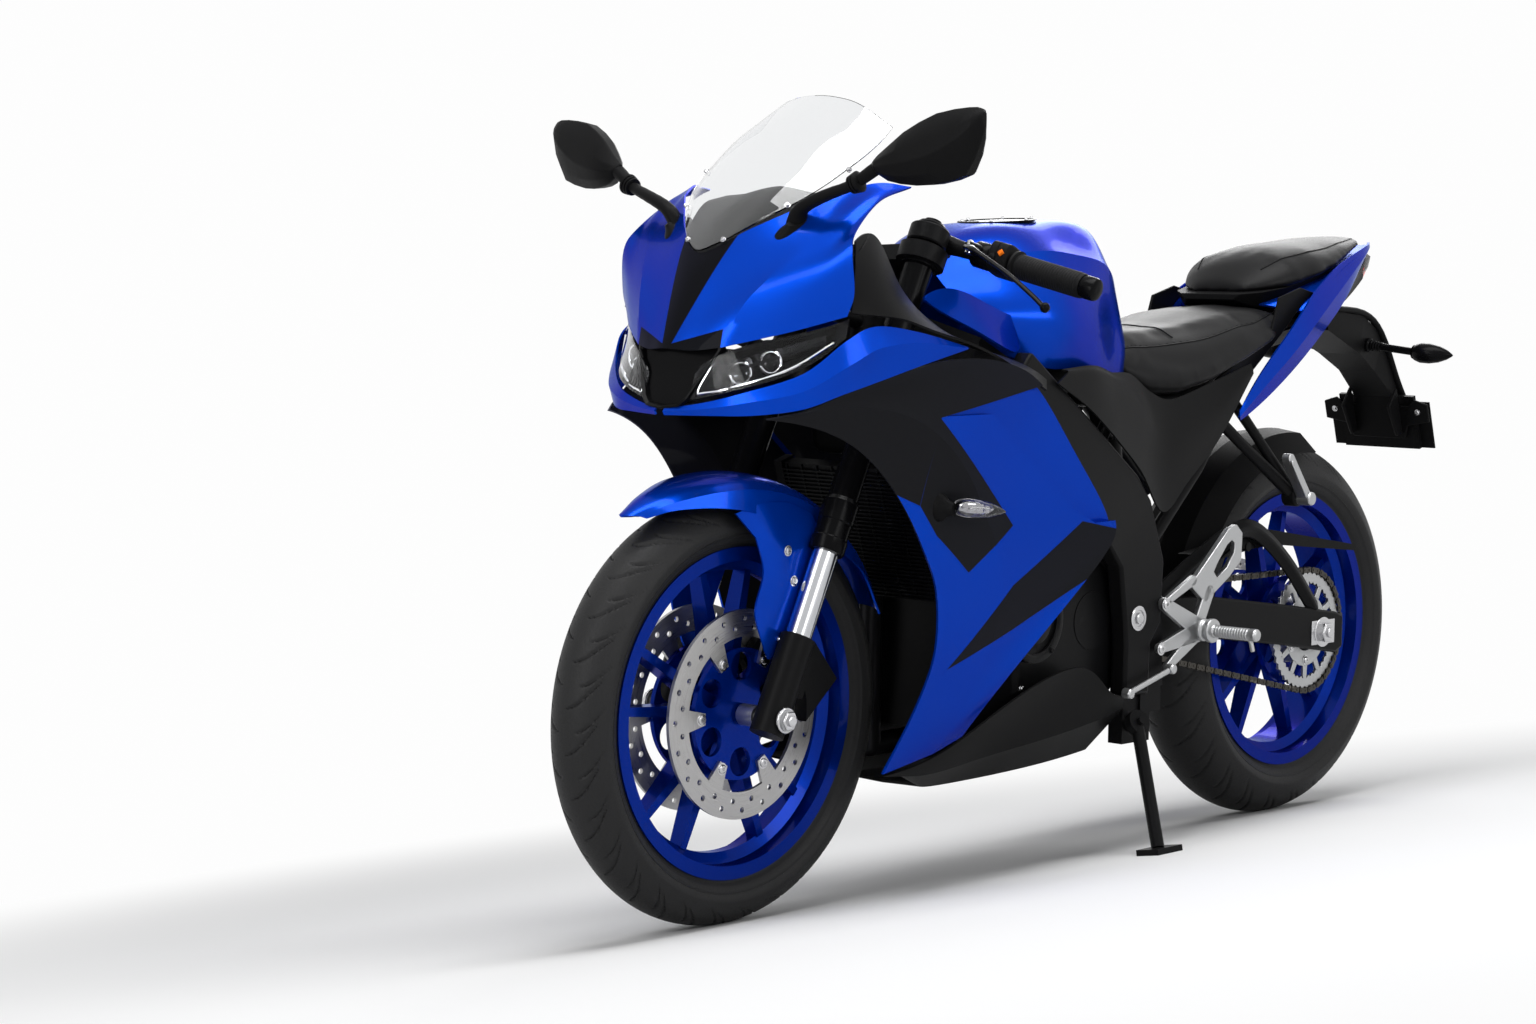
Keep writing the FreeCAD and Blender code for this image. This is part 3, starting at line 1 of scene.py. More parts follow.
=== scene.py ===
# %% [markdown]
# # Sport motorcycle: the finished look
#
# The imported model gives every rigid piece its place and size. This lesson dresses it in paint,
# plastic, rubber, metal and glass, and models the pieces whose real surface is finer than the
# packed one: tyre tread, chain, painted shells, lamps, mirrors, controls and seats. Lengths are
# in metres unless a name says millimetres.

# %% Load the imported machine
import json
import math

import bpy
import bmesh
from mathutils import Matrix, Vector


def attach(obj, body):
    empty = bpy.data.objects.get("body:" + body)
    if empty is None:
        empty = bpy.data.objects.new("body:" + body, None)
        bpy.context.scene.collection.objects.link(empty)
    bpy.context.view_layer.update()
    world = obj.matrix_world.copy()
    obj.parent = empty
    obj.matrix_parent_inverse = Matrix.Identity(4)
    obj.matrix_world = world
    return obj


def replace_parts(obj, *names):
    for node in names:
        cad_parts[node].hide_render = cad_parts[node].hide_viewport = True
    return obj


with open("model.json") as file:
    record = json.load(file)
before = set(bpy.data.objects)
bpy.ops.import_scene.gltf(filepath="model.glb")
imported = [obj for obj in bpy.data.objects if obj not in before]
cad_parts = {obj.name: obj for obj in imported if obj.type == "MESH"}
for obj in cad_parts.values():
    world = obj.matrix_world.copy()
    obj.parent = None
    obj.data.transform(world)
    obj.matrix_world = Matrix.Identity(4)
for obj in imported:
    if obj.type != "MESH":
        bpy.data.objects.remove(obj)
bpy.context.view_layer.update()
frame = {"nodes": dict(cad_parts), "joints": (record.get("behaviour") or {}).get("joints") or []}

nodes = frame["nodes"]
joints = {joint["name"]: joint for joint in frame["joints"]}
print("packed nodes:", len(nodes))

# %% [markdown]
# ## The upright machine
#
# The machine leans on its stand, which makes numbers hard to read. Its own axes come back from
# the wheel joints, so every modelled piece is written in upright millimetres: X forward, Y to
# the rider's left, Z up, and the origin on the ground half way between the axles.

# %% The upright frame
front_axle = Vector(joints["front_wheel_spin"]["pos_m"])
rear_axle = Vector(joints["rear_wheel_spin"]["pos_m"])
FRONT_RADIUS = 0.296
REAR_RADIUS = 0.314
HALF_WHEELBASE = (front_axle - rear_axle).length / 2

machine_left = Vector(joints["front_wheel_spin"]["axis"]).normalized()
radius_step = Vector((math.sqrt(4 * HALF_WHEELBASE ** 2 - (REAR_RADIUS - FRONT_RADIUS) ** 2), 0,
                      FRONT_RADIUS - REAR_RADIUS))
axle_line = (front_axle - rear_axle).normalized()
tilt = math.atan2(radius_step.z, radius_step.x)
machine_up = axle_line.cross(machine_left).normalized()
machine_up = (Matrix.Rotation(tilt, 3, machine_left) @ machine_up).normalized()
machine_forward = machine_left.cross(machine_up)
machine_origin = (front_axle + rear_axle - machine_up * (FRONT_RADIUS + REAR_RADIUS)) / 2
machine = Matrix((machine_forward, machine_left, machine_up)).transposed().to_4x4()
machine.translation = machine_origin
print("lean", round(math.degrees(math.asin(-machine_left.z)), 2), "degrees")


def at(x, y, z):
    """A point given in upright millimetres, in the scene's metres."""
    return machine @ Vector((x / 1000, y / 1000, z / 1000))


# %% [markdown]
# ## Camera
#
# The camera keeps the place it had beside the upright machine in the photograph, and leans with
# it, so the machine fills the frame as it did there. A long lens keeps the wheels' outlines true.

# %% The camera
LENS = 72.6
CAMERA_HEADING, CAMERA_DIP, CAMERA_ROLL = (math.radians(angle) for angle in (42.805, 4.508, 0.805))
CAMERA_PLACE = Vector((3.719, 2.919, 0.904))

look = Vector((-math.cos(CAMERA_DIP) * math.cos(CAMERA_HEADING),
               -math.cos(CAMERA_DIP) * math.sin(CAMERA_HEADING), -math.sin(CAMERA_DIP)))
sideways = look.cross(Vector((0, 0, 1))).normalized()
overhead = sideways.cross(look)
camera_right = sideways * math.cos(CAMERA_ROLL) + overhead * math.sin(CAMERA_ROLL)
camera_top = overhead * math.cos(CAMERA_ROLL) - sideways * math.sin(CAMERA_ROLL)

camera_data = bpy.data.cameras.new("camera")
camera_data.lens = LENS
camera = bpy.data.objects.new("camera", camera_data)
bpy.context.collection.objects.link(camera)
stance = Matrix((camera_right, camera_top, -look)).transposed().to_4x4()
stance.translation = CAMERA_PLACE
camera.matrix_world = machine @ stance
bpy.context.scene.camera = camera
print("camera at", [round(c, 3) for c in camera.matrix_world.translation])

# %% [markdown]
# ## Light, floor and background
#
# Glossy paint shows the room more than its own colour. Large soft panels give the long pale
# streaks of a studio picture, and a white surround closes them. The background is white for
# rays that come from the camera, a mirror finish or clear plastic. Every other ray meets a dim
# grey one, which adds a little soft light.

# %% Light panels
def light_panel(name, spot, aim, width, height, power):
    """An area light that faces a point, both in upright millimetres."""
    data = bpy.data.lights.new(name, "AREA")
    data.shape = "RECTANGLE"
    data.size = width
    data.size_y = height
    data.energy = power
    lamp = bpy.data.objects.new(name, data)
    bpy.context.collection.objects.link(lamp)
    lamp.location = at(*spot)
    lamp.rotation_euler = (at(*aim) - at(*spot)).to_track_quat("-Z", "Y").to_euler()


light_panel("overhead_panel", (300, 400, 3300), (0, 0, 500), 3.0, 1.3, 84)
light_panel("front_panel", (3300, 300, 1700), (500, 0, 600), 0.9, 2.4, 36)
light_panel("left_panel", (200, 3600, 2000), (0, 0, 500), 3.0, 0.9, 40)
light_panel("rear_panel", (-3200, -1600, 2200), (0, 0, 600), 2.0, 1.2, 38)

# %% Background and floor
def put(tree, kind, values=None, **settings):
    """Adds a node. Sockets given as values are linked and anything else is set."""
    made = tree.nodes.new("ShaderNode" + kind)
    for key, value in settings.items():
        setattr(made, key, value)
    for key, value in (values or {}).items():
        if isinstance(value, bpy.types.NodeSocket):
            tree.links.new(value, made.inputs[key])
        else:
            made.inputs[key].default_value = value
    return made


def either(tree, one, other):
    """The larger of two masks."""
    return put(tree, "Math", {0: one, 1: other}, operation="MAXIMUM").outputs[0]


BACKGROUND = (0.985, 0.985, 0.985, 1)
SURROUND = (0.62, 0.63, 0.65, 1)
SURROUND_LIGHT = 0.22
FLOOR_SIZE = 30
FLOOR_PAINT = (0.9, 0.9, 0.9, 1)
FADE_START, FADE_END = 1.15, 2.7

world = bpy.data.worlds.new("studio")
bpy.context.scene.world = world
bpy.context.scene.view_settings.view_transform = "Standard"
world.use_nodes = True
tree = world.node_tree
tree.nodes.clear()
path = put(tree, "LightPath")
seen = either(tree, path.outputs["Is Camera Ray"], path.outputs["Is Transmission Ray"])
seen = either(tree, seen, path.outputs["Is Glossy Ray"])
room_light = put(tree, "Background", {"Color": SURROUND, "Strength": SURROUND_LIGHT})
room_seen = put(tree, "Background", {"Color": BACKGROUND, "Strength": 1.0})
room = put(tree, "MixShader", {0: seen, 1: room_light.outputs[0], 2: room_seen.outputs[0]})
put(tree, "OutputWorld", {"Surface": room.outputs[0]})

floor_mesh = bpy.data.meshes.new("floor")
half = FLOOR_SIZE / 2
floor_mesh.from_pydata([(-half, -half, 0), (half, -half, 0), (half, half, 0), (-half, half, 0)],
                       [], [(0, 1, 2, 3)])
floor = bpy.data.objects.new("floor", floor_mesh)
bpy.context.collection.objects.link(floor)

floor_finish = bpy.data.materials.new("studio_floor")
floor_finish.use_nodes = True
tree = floor_finish.node_tree
tree.nodes.clear()
spot = put(tree, "TexCoord").outputs["Object"]
away = put(tree, "VectorMath", {0: spot}, operation="LENGTH").outputs["Value"]
fade = put(tree, "MapRange", {"Value": away, "From Min": FADE_START, "From Max": FADE_END},
           interpolation_type="SMOOTHSTEP").outputs[0]
ground = put(tree, "BsdfDiffuse", {"Color": FLOOR_PAINT})
haze = put(tree, "Emission", {"Color": BACKGROUND, "Strength": 1.0})
blend = put(tree, "MixShader", {0: fade, 1: ground.outputs[0], 2: haze.outputs[0]})
put(tree, "OutputMaterial", {"Surface": blend.outputs[0]})
floor.data.materials.append(floor_finish)
print("stage ready")

# %% [markdown]
# ## Effects that several finishes share
#
# Each effect is a shader node group with named inputs and outputs: built once, then placed in
# a material with its own values. The groups give only masks and normals; the shader stays in
# the material.

# %% Helpers for groups and small sums
def effect(name, inputs, outputs):
    """A shader node group; inputs are name: default pairs and outputs are names."""
    group = bpy.data.node_groups.new(name, "ShaderNodeTree")
    for label, default in inputs.items():
        socket = group.interface.new_socket(label, in_out="INPUT", socket_type="NodeSocketFloat")
        socket.default_value = default
    for label in outputs:
        kind = "NodeSocketVector" if label == "Normal" else "NodeSocketFloat"
        group.interface.new_socket(label, in_out="OUTPUT", socket_type=kind)
    inside = group.nodes.new("NodeGroupInput")
    outside = group.nodes.new("NodeGroupOutput")
    return group, inside.outputs, outside.inputs


def place(tree, group, values=None):
    """Puts an effect into a material and returns its outputs."""
    return put(tree, "Group", values, node_tree=group).outputs


def sum_of(tree, operation, a, b=0.0, c=0.0):
    """A sum of up to three numbers."""
    return put(tree, "Math", {0: a, 1: b, 2: c}, operation=operation).outputs[0]


def vector_sum(tree, operation, a, b=(0, 0, 0)):
    """A sum of two vectors, which gives another vector."""
    return put(tree, "VectorMath", {0: a, 1: b}, operation=operation).outputs["Vector"]


def reach_along(tree, vector, axis):
    """How far a vector reaches along an axis."""
    return put(tree, "VectorMath", {0: vector, 1: axis}, operation="DOT_PRODUCT").outputs["Value"]


def ramp(tree, value, low, high, start=0.0, end=1.0):
    """A number that runs from start to end while the value runs from low to high."""
    return put(tree, "MapRange", {"Value": value, "From Min": low, "From Max": high,
                                  "To Min": start, "To Max": end}).outputs[0]


def mixed(tree, factor, first, second):
    """Two colours mixed by a factor; each may be a colour or a socket."""
    return put(tree, "Mix", {0: factor, 6: first, 7: second}, data_type="RGBA").outputs[2]


def local_place(tree):
    """Where a point is in its own piece, in metres."""
    return put(tree, "TexCoord").outputs["Object"]


def surface_normal(tree):
    return put(tree, "NewGeometry").outputs["Normal"]


def noise(tree, vector, scale, detail, roughness=0.5):
    """Cloudy noise between 0 and 1."""
    return put(tree, "TexNoise", {"Vector": vector, "Scale": scale, "Detail": detail,
                                  "Roughness": roughness}).outputs[0]


# %% [markdown]
# ## Where a point is on the machine
#
# Colour blocks and stripes are cut by straight lines in the side view, so the finishes need
# upright millimetres. Object coordinates stay with a piece when it steers or turns.

# %% Effect: machine place
machine_place, _, results = effect("machine place", {}, ("Along", "Across", "Height", "Outward"))
offset = vector_sum(machine_place, "SUBTRACT", local_place(machine_place), machine_origin)
for label, axis in (("Along", machine_forward), ("Across", machine_left), ("Height", machine_up)):
    millimetres = sum_of(machine_place, "MULTIPLY", reach_along(machine_place, offset, axis), 1000)
    machine_place.links.new(millimetres, results[label])
    if label == "Across":
        which_side = sum_of(machine_place, "SIGN", millimetres)
leftward = reach_along(machine_place, surface_normal(machine_place), machine_left)
machine_place.links.new(sum_of(machine_place, "MULTIPLY", leftward, which_side), results["Outward"])

# %% [markdown]
# ## Metallic flake, moulded grain, brushed rings, wear and dust
#
# Metallic paint is aluminium flakes under clear coat: tiny cells with slightly different tilts.
# Moulded plastic has a fine pebble. Ground steel has rings about its axle. Corners rub bright,
# and dust gathers on what faces up.

# %% Effect: paint flake
paint_flake, settings, results = effect("paint flake", {"Cells per metre": 2600, "Tilt": 0.07},
                                        ("Sparkle", "Normal"))
cells = put(paint_flake, "TexVoronoi", {"Vector": local_place(paint_flake),
                                        "Scale": settings["Cells per metre"]}).outputs["Color"]
paint_flake.links.new(put(paint_flake, "SeparateColor", {0: cells}).outputs[0], results["Sparkle"])
centred = vector_sum(paint_flake, "SUBTRACT", cells, (0.5, 0.5, 0.5))
leaning = put(paint_flake, "VectorMath", {0: centred, "Scale": settings["Tilt"]},
              operation="SCALE").outputs["Vector"]
tilted = vector_sum(paint_flake, "ADD", surface_normal(paint_flake), leaning)
paint_flake.links.new(vector_sum(paint_flake, "NORMALIZE", tilted), results["Normal"])

# %% Effect: moulded grain
moulded_grain, settings, results = effect("moulded grain", {"Pebbles per metre": 900, "Softness": 0.5},
                                          ("Relief",))
local = local_place(moulded_grain)
pebbles = put(moulded_grain, "TexVoronoi", {"Vector": local, "Scale": settings["Pebbles per metre"],
                                            "Smoothness": settings["Softness"]},
              feature="SMOOTH_F1").outputs["Distance"]
cloudy = noise(moulded_grain, local, 350, 3)
moulded_grain.links.new(sum_of(moulded_grain, "MULTIPLY_ADD", cloudy, 0.35, pebbles), results["Relief"])

# %% Effect: edge wear
edge_wear, settings, results = effect("edge wear", {"Start": 0.53, "End": 0.6, "Patchiness": 0.6},
                                      ("Worn",))
corners = put(edge_wear, "NewGeometry").outputs["Pointiness"]
sharp = ramp(edge_wear, corners, settings["Start"], settings["End"])
patches = noise(edge_wear, local_place(edge_wear), 60, 5)
whole_share = sum_of(edge_wear, "SUBTRACT", 1.0, settings["Patchiness"])
broken = sum_of(edge_wear, "SUBTRACT", patches, whole_share)
bare = sum_of(edge_wear, "MULTIPLY", sharp, ramp(edge_wear, broken, 0.0, 0.3))
edge_wear.links.new(bare, results["Worn"])

# %% Effect: dust
dust_film, settings, results = effect("dust film", {"Amount": 0.3}, ("Dust",))
drift = ramp(dust_film, noise(dust_film, local_place(dust_film), 9, 6, 0.7), 0.45, 0.75)
facing = put(dust_film, "SeparateXYZ", {0: surface_normal(dust_film)}).outputs["Z"]
resting = sum_of(dust_film, "MULTIPLY", drift, ramp(dust_film, facing, -0.1, 0.9))
dust_film.links.new(sum_of(dust_film, "MULTIPLY", resting, settings["Amount"]), results["Dust"])

# %% Effect: rings ground about an axle
ground_rings, settings, results = effect(
    "ground rings", {"Axle along": 662.5, "Axle height": 296.0, "Rings per millimetre": 1.6}, ("Line",))
spot = place(ground_rings, machine_place)
across_x = sum_of(ground_rings, "SUBTRACT", spot["Along"], settings["Axle along"])
across_z = sum_of(ground_rings, "SUBTRACT", spot["Height"], settings["Axle height"])
squares = [sum_of(ground_rings, "POWER", way, 2.0) for way in (across_x, across_z)]
reach = sum_of(ground_rings, "SQRT", sum_of(ground_rings, "ADD", *squares))
turn = sum_of(ground_rings, "ARCTAN2", across_z, across_x)
lane = sum_of(ground_rings, "MULTIPLY", reach, settings["Rings per millimetre"])
drawn_out = sum_of(ground_rings, "MULTIPLY", turn, 1.5)
lanes = put(ground_rings, "CombineXYZ", {0: lane, 1: drawn_out}).outputs[0]
ground_rings.links.new(noise(ground_rings, lanes, 1.0, 4), results["Line"])

# %% [markdown]
# ## Finishes
#
# One short function makes each kind of finish, and each finish of the machine is one call of
# it. Constants sit on the shader's own sockets, and only what changes over the surface is linked.

# %% Starting and closing a finish
def begin(name):
    material = bpy.data.materials.new(name)
    material.use_nodes = True
    material.node_tree.nodes.clear()
    return material, material.node_tree


def close(tree, **values):
    """A Principled shader with these sockets, led to the output."""
    sockets = {key.replace("_", " "): value for key, value in values.items()}
    put(tree, "OutputMaterial", {"Surface": put(tree, "BsdfPrincipled", sockets).outputs[0]})


def bump(tree, height, distance, strength=1.0):
    """A normal tilted by a height, which is given in metres by the distance."""
    return put(tree, "Bump", {"Height": height, "Distance": distance, "Strength": strength}).outputs[0]


# %% Colours
BLUE = (0.0, 0.045, 0.46, 1)
# The deep blue is the paint's flop colour, made darker as painted shade on panels seen at a glancing angle.
FLOP_AND_SHADE_BLUE = (0.0, 0.006, 0.09, 1)
GRAPHITE = (0.011, 0.011, 0.0115, 1)
SOOT = (0.005, 0.005, 0.0055, 1)
DUST = (0.1, 0.095, 0.09, 1)
FLAKE_BLUE = (0.01, 0.14, 0.8, 1)
GLANCE_BLUE = (0.12, 0.3, 1, 1)
DISC_DARK, DISC_PALE = (0.3, 0.29, 0.28, 1), (0.5, 0.5, 0.5, 1)

# %% [markdown]
# ## Painted panels
#
# The side view of the machine cuts its two-tone paint into blocks. A block is what lies on the
# inner side of each of its straight edges, so its mask is the smallest of a few distances.

# %% Masks cut by straight lines
def side_of(tree, spot, start, end, soft=0.6):
    """1 left of the line from start to end, in (along, height) millimetres."""
    run, rise = end[0] - start[0], end[1] - start[1]
    length = math.hypot(run, rise)
    level = sum_of(tree, "MULTIPLY_ADD", spot["Along"], -rise / length, start[0] * rise / length)
    plumb = sum_of(tree, "MULTIPLY_ADD", spot["Height"], run / length, -start[1] * run / length)
    return ramp(tree, sum_of(tree, "ADD", level, plumb), -soft, soft)


def block(tree, spot, *corners):
    """The mask of a convex block whose corners go anticlockwise as seen from the left side."""
    masks = [side_of(tree, spot, a, b) for a, b in zip(corners, corners[1:] + corners[:1])]
    whole_mask = masks[0]
    for mask in masks[1:]:
        whole_mask = sum_of(tree, "MINIMUM", whole_mask, mask)
    return whole_mask


# %% Metallic paint
PAINT_ROUGH, SATIN_ROUGH, DUSTY_ROUGH = 0.24, 0.42, 0.32
PAINT_METAL, SATIN_METAL = 0.55, 0.2
PAINT_COAT, SATIN_COAT = 0.1, 0.04


def metallic_paint(name, colour=BLUE, deep=FLOP_AND_SHADE_BLUE, masked=None, other=GRAPHITE):
    """Clear-coated flake paint that turns deep blue at glancing angles, partly as its flop and partly as
    painted shade; masked gives the blocks of the second, satin colour.
    """
    material, tree = begin(name)
    flake = place(tree, paint_flake)
    # Painted shade: the colour runs to the deep blue at glancing angles, partly the paint's real flop and
    # partly shade painted onto the panels.
    edge = put(tree, "LayerWeight", {"Blend": 0.32}).outputs["Facing"]
    sparkle = ramp(tree, flake["Sparkle"], 0.72, 1.0, 0.0, 0.1)
    bright = mixed(tree, sparkle, mixed(tree, edge, colour, deep), FLAKE_BLUE)
    film = place(tree, dust_film, {"Amount": 0.05})
    rough = ramp(tree, film["Dust"], 0.0, 0.1, PAINT_ROUGH, DUSTY_ROUGH)
    metal, coat = PAINT_METAL, PAINT_COAT
    if masked is not None:
        mask = masked(tree, place(tree, machine_place))
        bright = mixed(tree, mask, bright, other)
        rough = sum_of(tree, "MULTIPLY_ADD", mask, SATIN_ROUGH - PAINT_ROUGH, rough)
        metal = ramp(tree, mask, 0.0, 1.0, PAINT_METAL, SATIN_METAL)
        coat = ramp(tree, mask, 0.0, 1.0, PAINT_COAT, SATIN_COAT)
    close(tree, Base_Color=bright, Metallic=metal, Roughness=rough, Coat_Weight=coat,
          Coat_Roughness=0.04, Specular_IOR_Level=0.02, Specular_Tint=GLANCE_BLUE,
          Normal=flake["Normal"])
    return material


def fairing_blocks(tree, spot):
    """The grey band along the top, the chevron below it, the rear block and the inner side."""
    top_band = block(tree, spot, (250, 745), (480, 704), (760, 700), (760, 820), (250, 820))
    chevron = block(tree, spot, (321, 550), (400, 487), (469, 542), (501, 584), (480, 704))
    shoulder = block(tree, spot, (501, 584), (760, 690), (760, 706), (478, 706))
    rear_block = block(tree, spot, (171, 549), (75, 531), (133, 470), (289, 397), (405, 348), (304, 464))
    inner_side = ramp(tree, spot["Outward"], -0.12, -0.2)
    return either(tree, either(tree, top_band, inner_side),
                  either(tree, either(tree, chevron, shoulder), rear_block))


STRIPE_LOW, STRIPE_TOP = 799, 960
STRIPE_NARROW, STRIPE_WIDE = 8, 52
ARM_SLOPE, ARM_REACH = 0.3, 77


def nose_stripe(tree, spot):
    """The dark stripe down the middle of the nose, and the V over the intake."""
    across = put(tree, "Math", {0: spot["Across"]}, operation="ABSOLUTE").outputs[0]
    edge = ramp(tree, spot["Height"], STRIPE_LOW, STRIPE_TOP, STRIPE_NARROW, STRIPE_WIDE)
    stripe = ramp(tree, sum_of(tree, "SUBTRACT", edge, across), -0.5, 0.5)
    arm_top = sum_of(tree, "MULTIPLY_ADD", across, ARM_SLOPE, STRIPE_LOW)
    under = ramp(tree, sum_of(tree, "SUBTRACT", arm_top, spot["Height"]), -0.5, 0.5)
    arm_end = ramp(tree, across, ARM_REACH + 0.5, ARM_REACH - 0.5)
    return either(tree, stripe, sum_of(tree, "MINIMUM", under, arm_end))


# %% Plastics and rubber
def moulded(name, colour, rough=0.5, pebbles=900, depth=0.0001, dust=0.02):
    """Moulded plastic with a fine pebble, paler where corners rub and where dust lies."""
    material, tree = begin(name)
    relief = place(tree, moulded_grain, {"Pebbles per metre": pebbles})["Relief"]
    worn = place(tree, edge_wear, {"Patchiness": 0.2})["Worn"]
    film = place(tree, dust_film, {"Amount": dust})["Dust"]
    paler = tuple(min(1.0, c * 1.8 + 0.003) for c in colour[:3]) + (1,)
    close(tree, Base_Color=mixed(tree, film, mixed(tree, worn, colour, paler), DUST),
          Roughness=ramp(tree, relief, 0.2, 1.0, rough - 0.06, rough + 0.08),
          Specular_IOR_Level=0.05, Normal=bump(tree, relief, depth))
    return material


def rubber(name, colour=(0.007, 0.007, 0.0075, 1), rough=0.55, pebbles=500, depth=0.00015,
           dust=0.05, shine=0.08):
    """Rubber or vinyl with a soft grain that dust settles on."""
    material, tree = begin(name)
    relief = place(tree, moulded_grain, {"Pebbles per metre": pebbles, "Softness": 0.9})["Relief"]
    film = place(tree, dust_film, {"Amount": dust})["Dust"]
    close(tree, Base_Color=mixed(tree, film, colour, DUST),
          Roughness=ramp(tree, relief, 0.2, 1.0, rough - 0.1, rough + 0.1),
          Specular_IOR_Level=shine, Normal=bump(tree, relief, depth))
    return material


# %% Metals
def cast_metal(name, colour, rough, metallic=1.0, bright=(0.75, 0.75, 0.76, 1)):
    """Sand-textured casting whose corners have rubbed bright."""
    material, tree = begin(name)
    relief = place(tree, moulded_grain, {"Pebbles per metre": 700, "Softness": 0.7})["Relief"]
    worn = place(tree, edge_wear, {"Patchiness": 0.4})["Worn"]
    film = place(tree, dust_film, {"Amount": 0.06})["Dust"]
    close(tree, Base_Color=mixed(tree, film, mixed(tree, worn, colour, bright), DUST),
          Metallic=metallic, Specular_IOR_Level=0.08,
          Roughness=ramp(tree, relief, 0.2, 1.0, rough - 0.05, rough + 0.1),
          Normal=bump(tree, relief, 0.0001))
    return material


def plated(name, colour, rough):
    """Chromed or polished metal with faint wiping marks."""
    material, tree = begin(name)
    marks = noise(tree, local_place(tree), 30, 3)
    darker = tuple(c * 0.7 for c in colour[:3]) + (1,)
    close(tree, Base_Color=mixed(tree, ramp(tree, marks, 0.3, 0.7, 0.0, 0.1), colour, darker),
          Metallic=1.0, Roughness=ramp(tree, marks, 0.3, 0.7, rough, rough + 0.04))
    return material


def ground_disc(name, along, height):
    """Brake steel, ground in rings about its axle and polished by the pads."""
    material, tree = begin(name)
    line = place(tree, ground_rings, {"Axle along": along, "Axle height": height})["Line"]
    close(tree, Base_Color=mixed(tree, line, DISC_DARK, DISC_PALE), Metallic=1.0,
          Roughness=ramp(tree, line, 0.3, 0.7, 0.24, 0.42), Normal=bump(tree, line, 0.00008, 0.6))
    return material


# %% Clear plastics
def clear(name, tint, ior=1.45):
    """Clear moulded plastic, which light passes on its way to what lies behind it."""
    material, tree = begin(name)
    smear = noise(tree, local_place(tree), 14, 4)
    shader = put(tree, "BsdfPrincipled", {"Base Color": tint, "Transmission Weight": 1.0, "IOR": ior,
                                          "Roughness": ramp(tree, smear, 0.4, 0.8, 0.0, 0.02)})
    passing = put(tree, "BsdfTransparent", {"Color": tint})
    shadow = put(tree, "LightPath").outputs["Is Shadow Ray"]
    both = put(tree, "MixShader", {0: shadow, 1: shader.outputs[0], 2: passing.outputs[0]})
    put(tree, "OutputMaterial", {"Surface": both.outputs[0]})
    return material


# %% The machine's finishes
blue_paint = metallic_paint("metallic_blue")
wheel_paint = metallic_paint("wheel_blue", (0.0, 0.02, 0.26, 1), (0.0, 0.004, 0.06, 1))
fairing_paint = metallic_paint("fairing_two_tone", masked=fairing_blocks)
nose_paint = metallic_paint("nose_two_tone", masked=nose_stripe, other=SOOT)
graphite = moulded("graphite_panel", (0.006, 0.006, 0.0063, 1), 0.38, 1400, 0.00003)
black_plastic = moulded("black_plastic", (0.0045, 0.0045, 0.0048, 1), 0.45)
gloss_black = moulded("gloss_black", (0.003, 0.003, 0.0035, 1), 0.2, 1400, 0.00001, dust=0.03)
frame_black = moulded("frame_black", (0.006, 0.006, 0.0064, 1), 0.36, 1600, 0.00004)
tyre_rubber = rubber("tyre_rubber", (0.012, 0.012, 0.0125, 1), shine=0.2)
seat_vinyl = rubber("seat_vinyl", (0.006, 0.006, 0.0064, 1), 0.44, 1300, 0.00006, 0.02, 0.12)
grip_rubber = rubber("grip_rubber", pebbles=600, depth=0.0002)
engine_black = cast_metal("engine_black", (0.0045, 0.0045, 0.005, 1), 0.35, 0.0,
                          bright=(0.03, 0.03, 0.031, 1))
silver_cast = cast_metal("silver_cast", (0.42, 0.425, 0.43, 1), 0.34)
fork_chrome = plated("fork_chrome", (0.5, 0.51, 0.53, 1), 0.16)
bolt_steel = plated("bolt_steel", (0.55, 0.55, 0.56, 1), 0.2)
chain_steel = cast_metal("chain_steel", (0.05, 0.046, 0.04, 1), 0.35, bright=(0.3, 0.28, 0.25, 1))
disc_front = ground_disc("disc_steel_front", 662.5, 296.0)
disc_rear = ground_disc("disc_steel_rear", -662.5, 314.0)
exhaust_steel = cast_metal("exhaust_steel", (0.02, 0.02, 0.022, 1), 0.32, 0.4)
screen_clear = clear("screen_clear", (0.86, 0.87, 0.88, 1))
lamp_clear = clear("lamp_clear", (0.97, 0.98, 1.0, 1), ior=1.2)
tail_red = clear("tail_red", (0.7, 0.01, 0.01, 1))
smoke_lens = clear("smoke_lens", (0.35, 0.35, 0.36, 1))
mirror_silver = plated("mirror_silver", (0.9, 0.9, 0.91, 1), 0.02)
dark_chrome = plated("dark_chrome", (0.03, 0.03, 0.032, 1), 0.16)

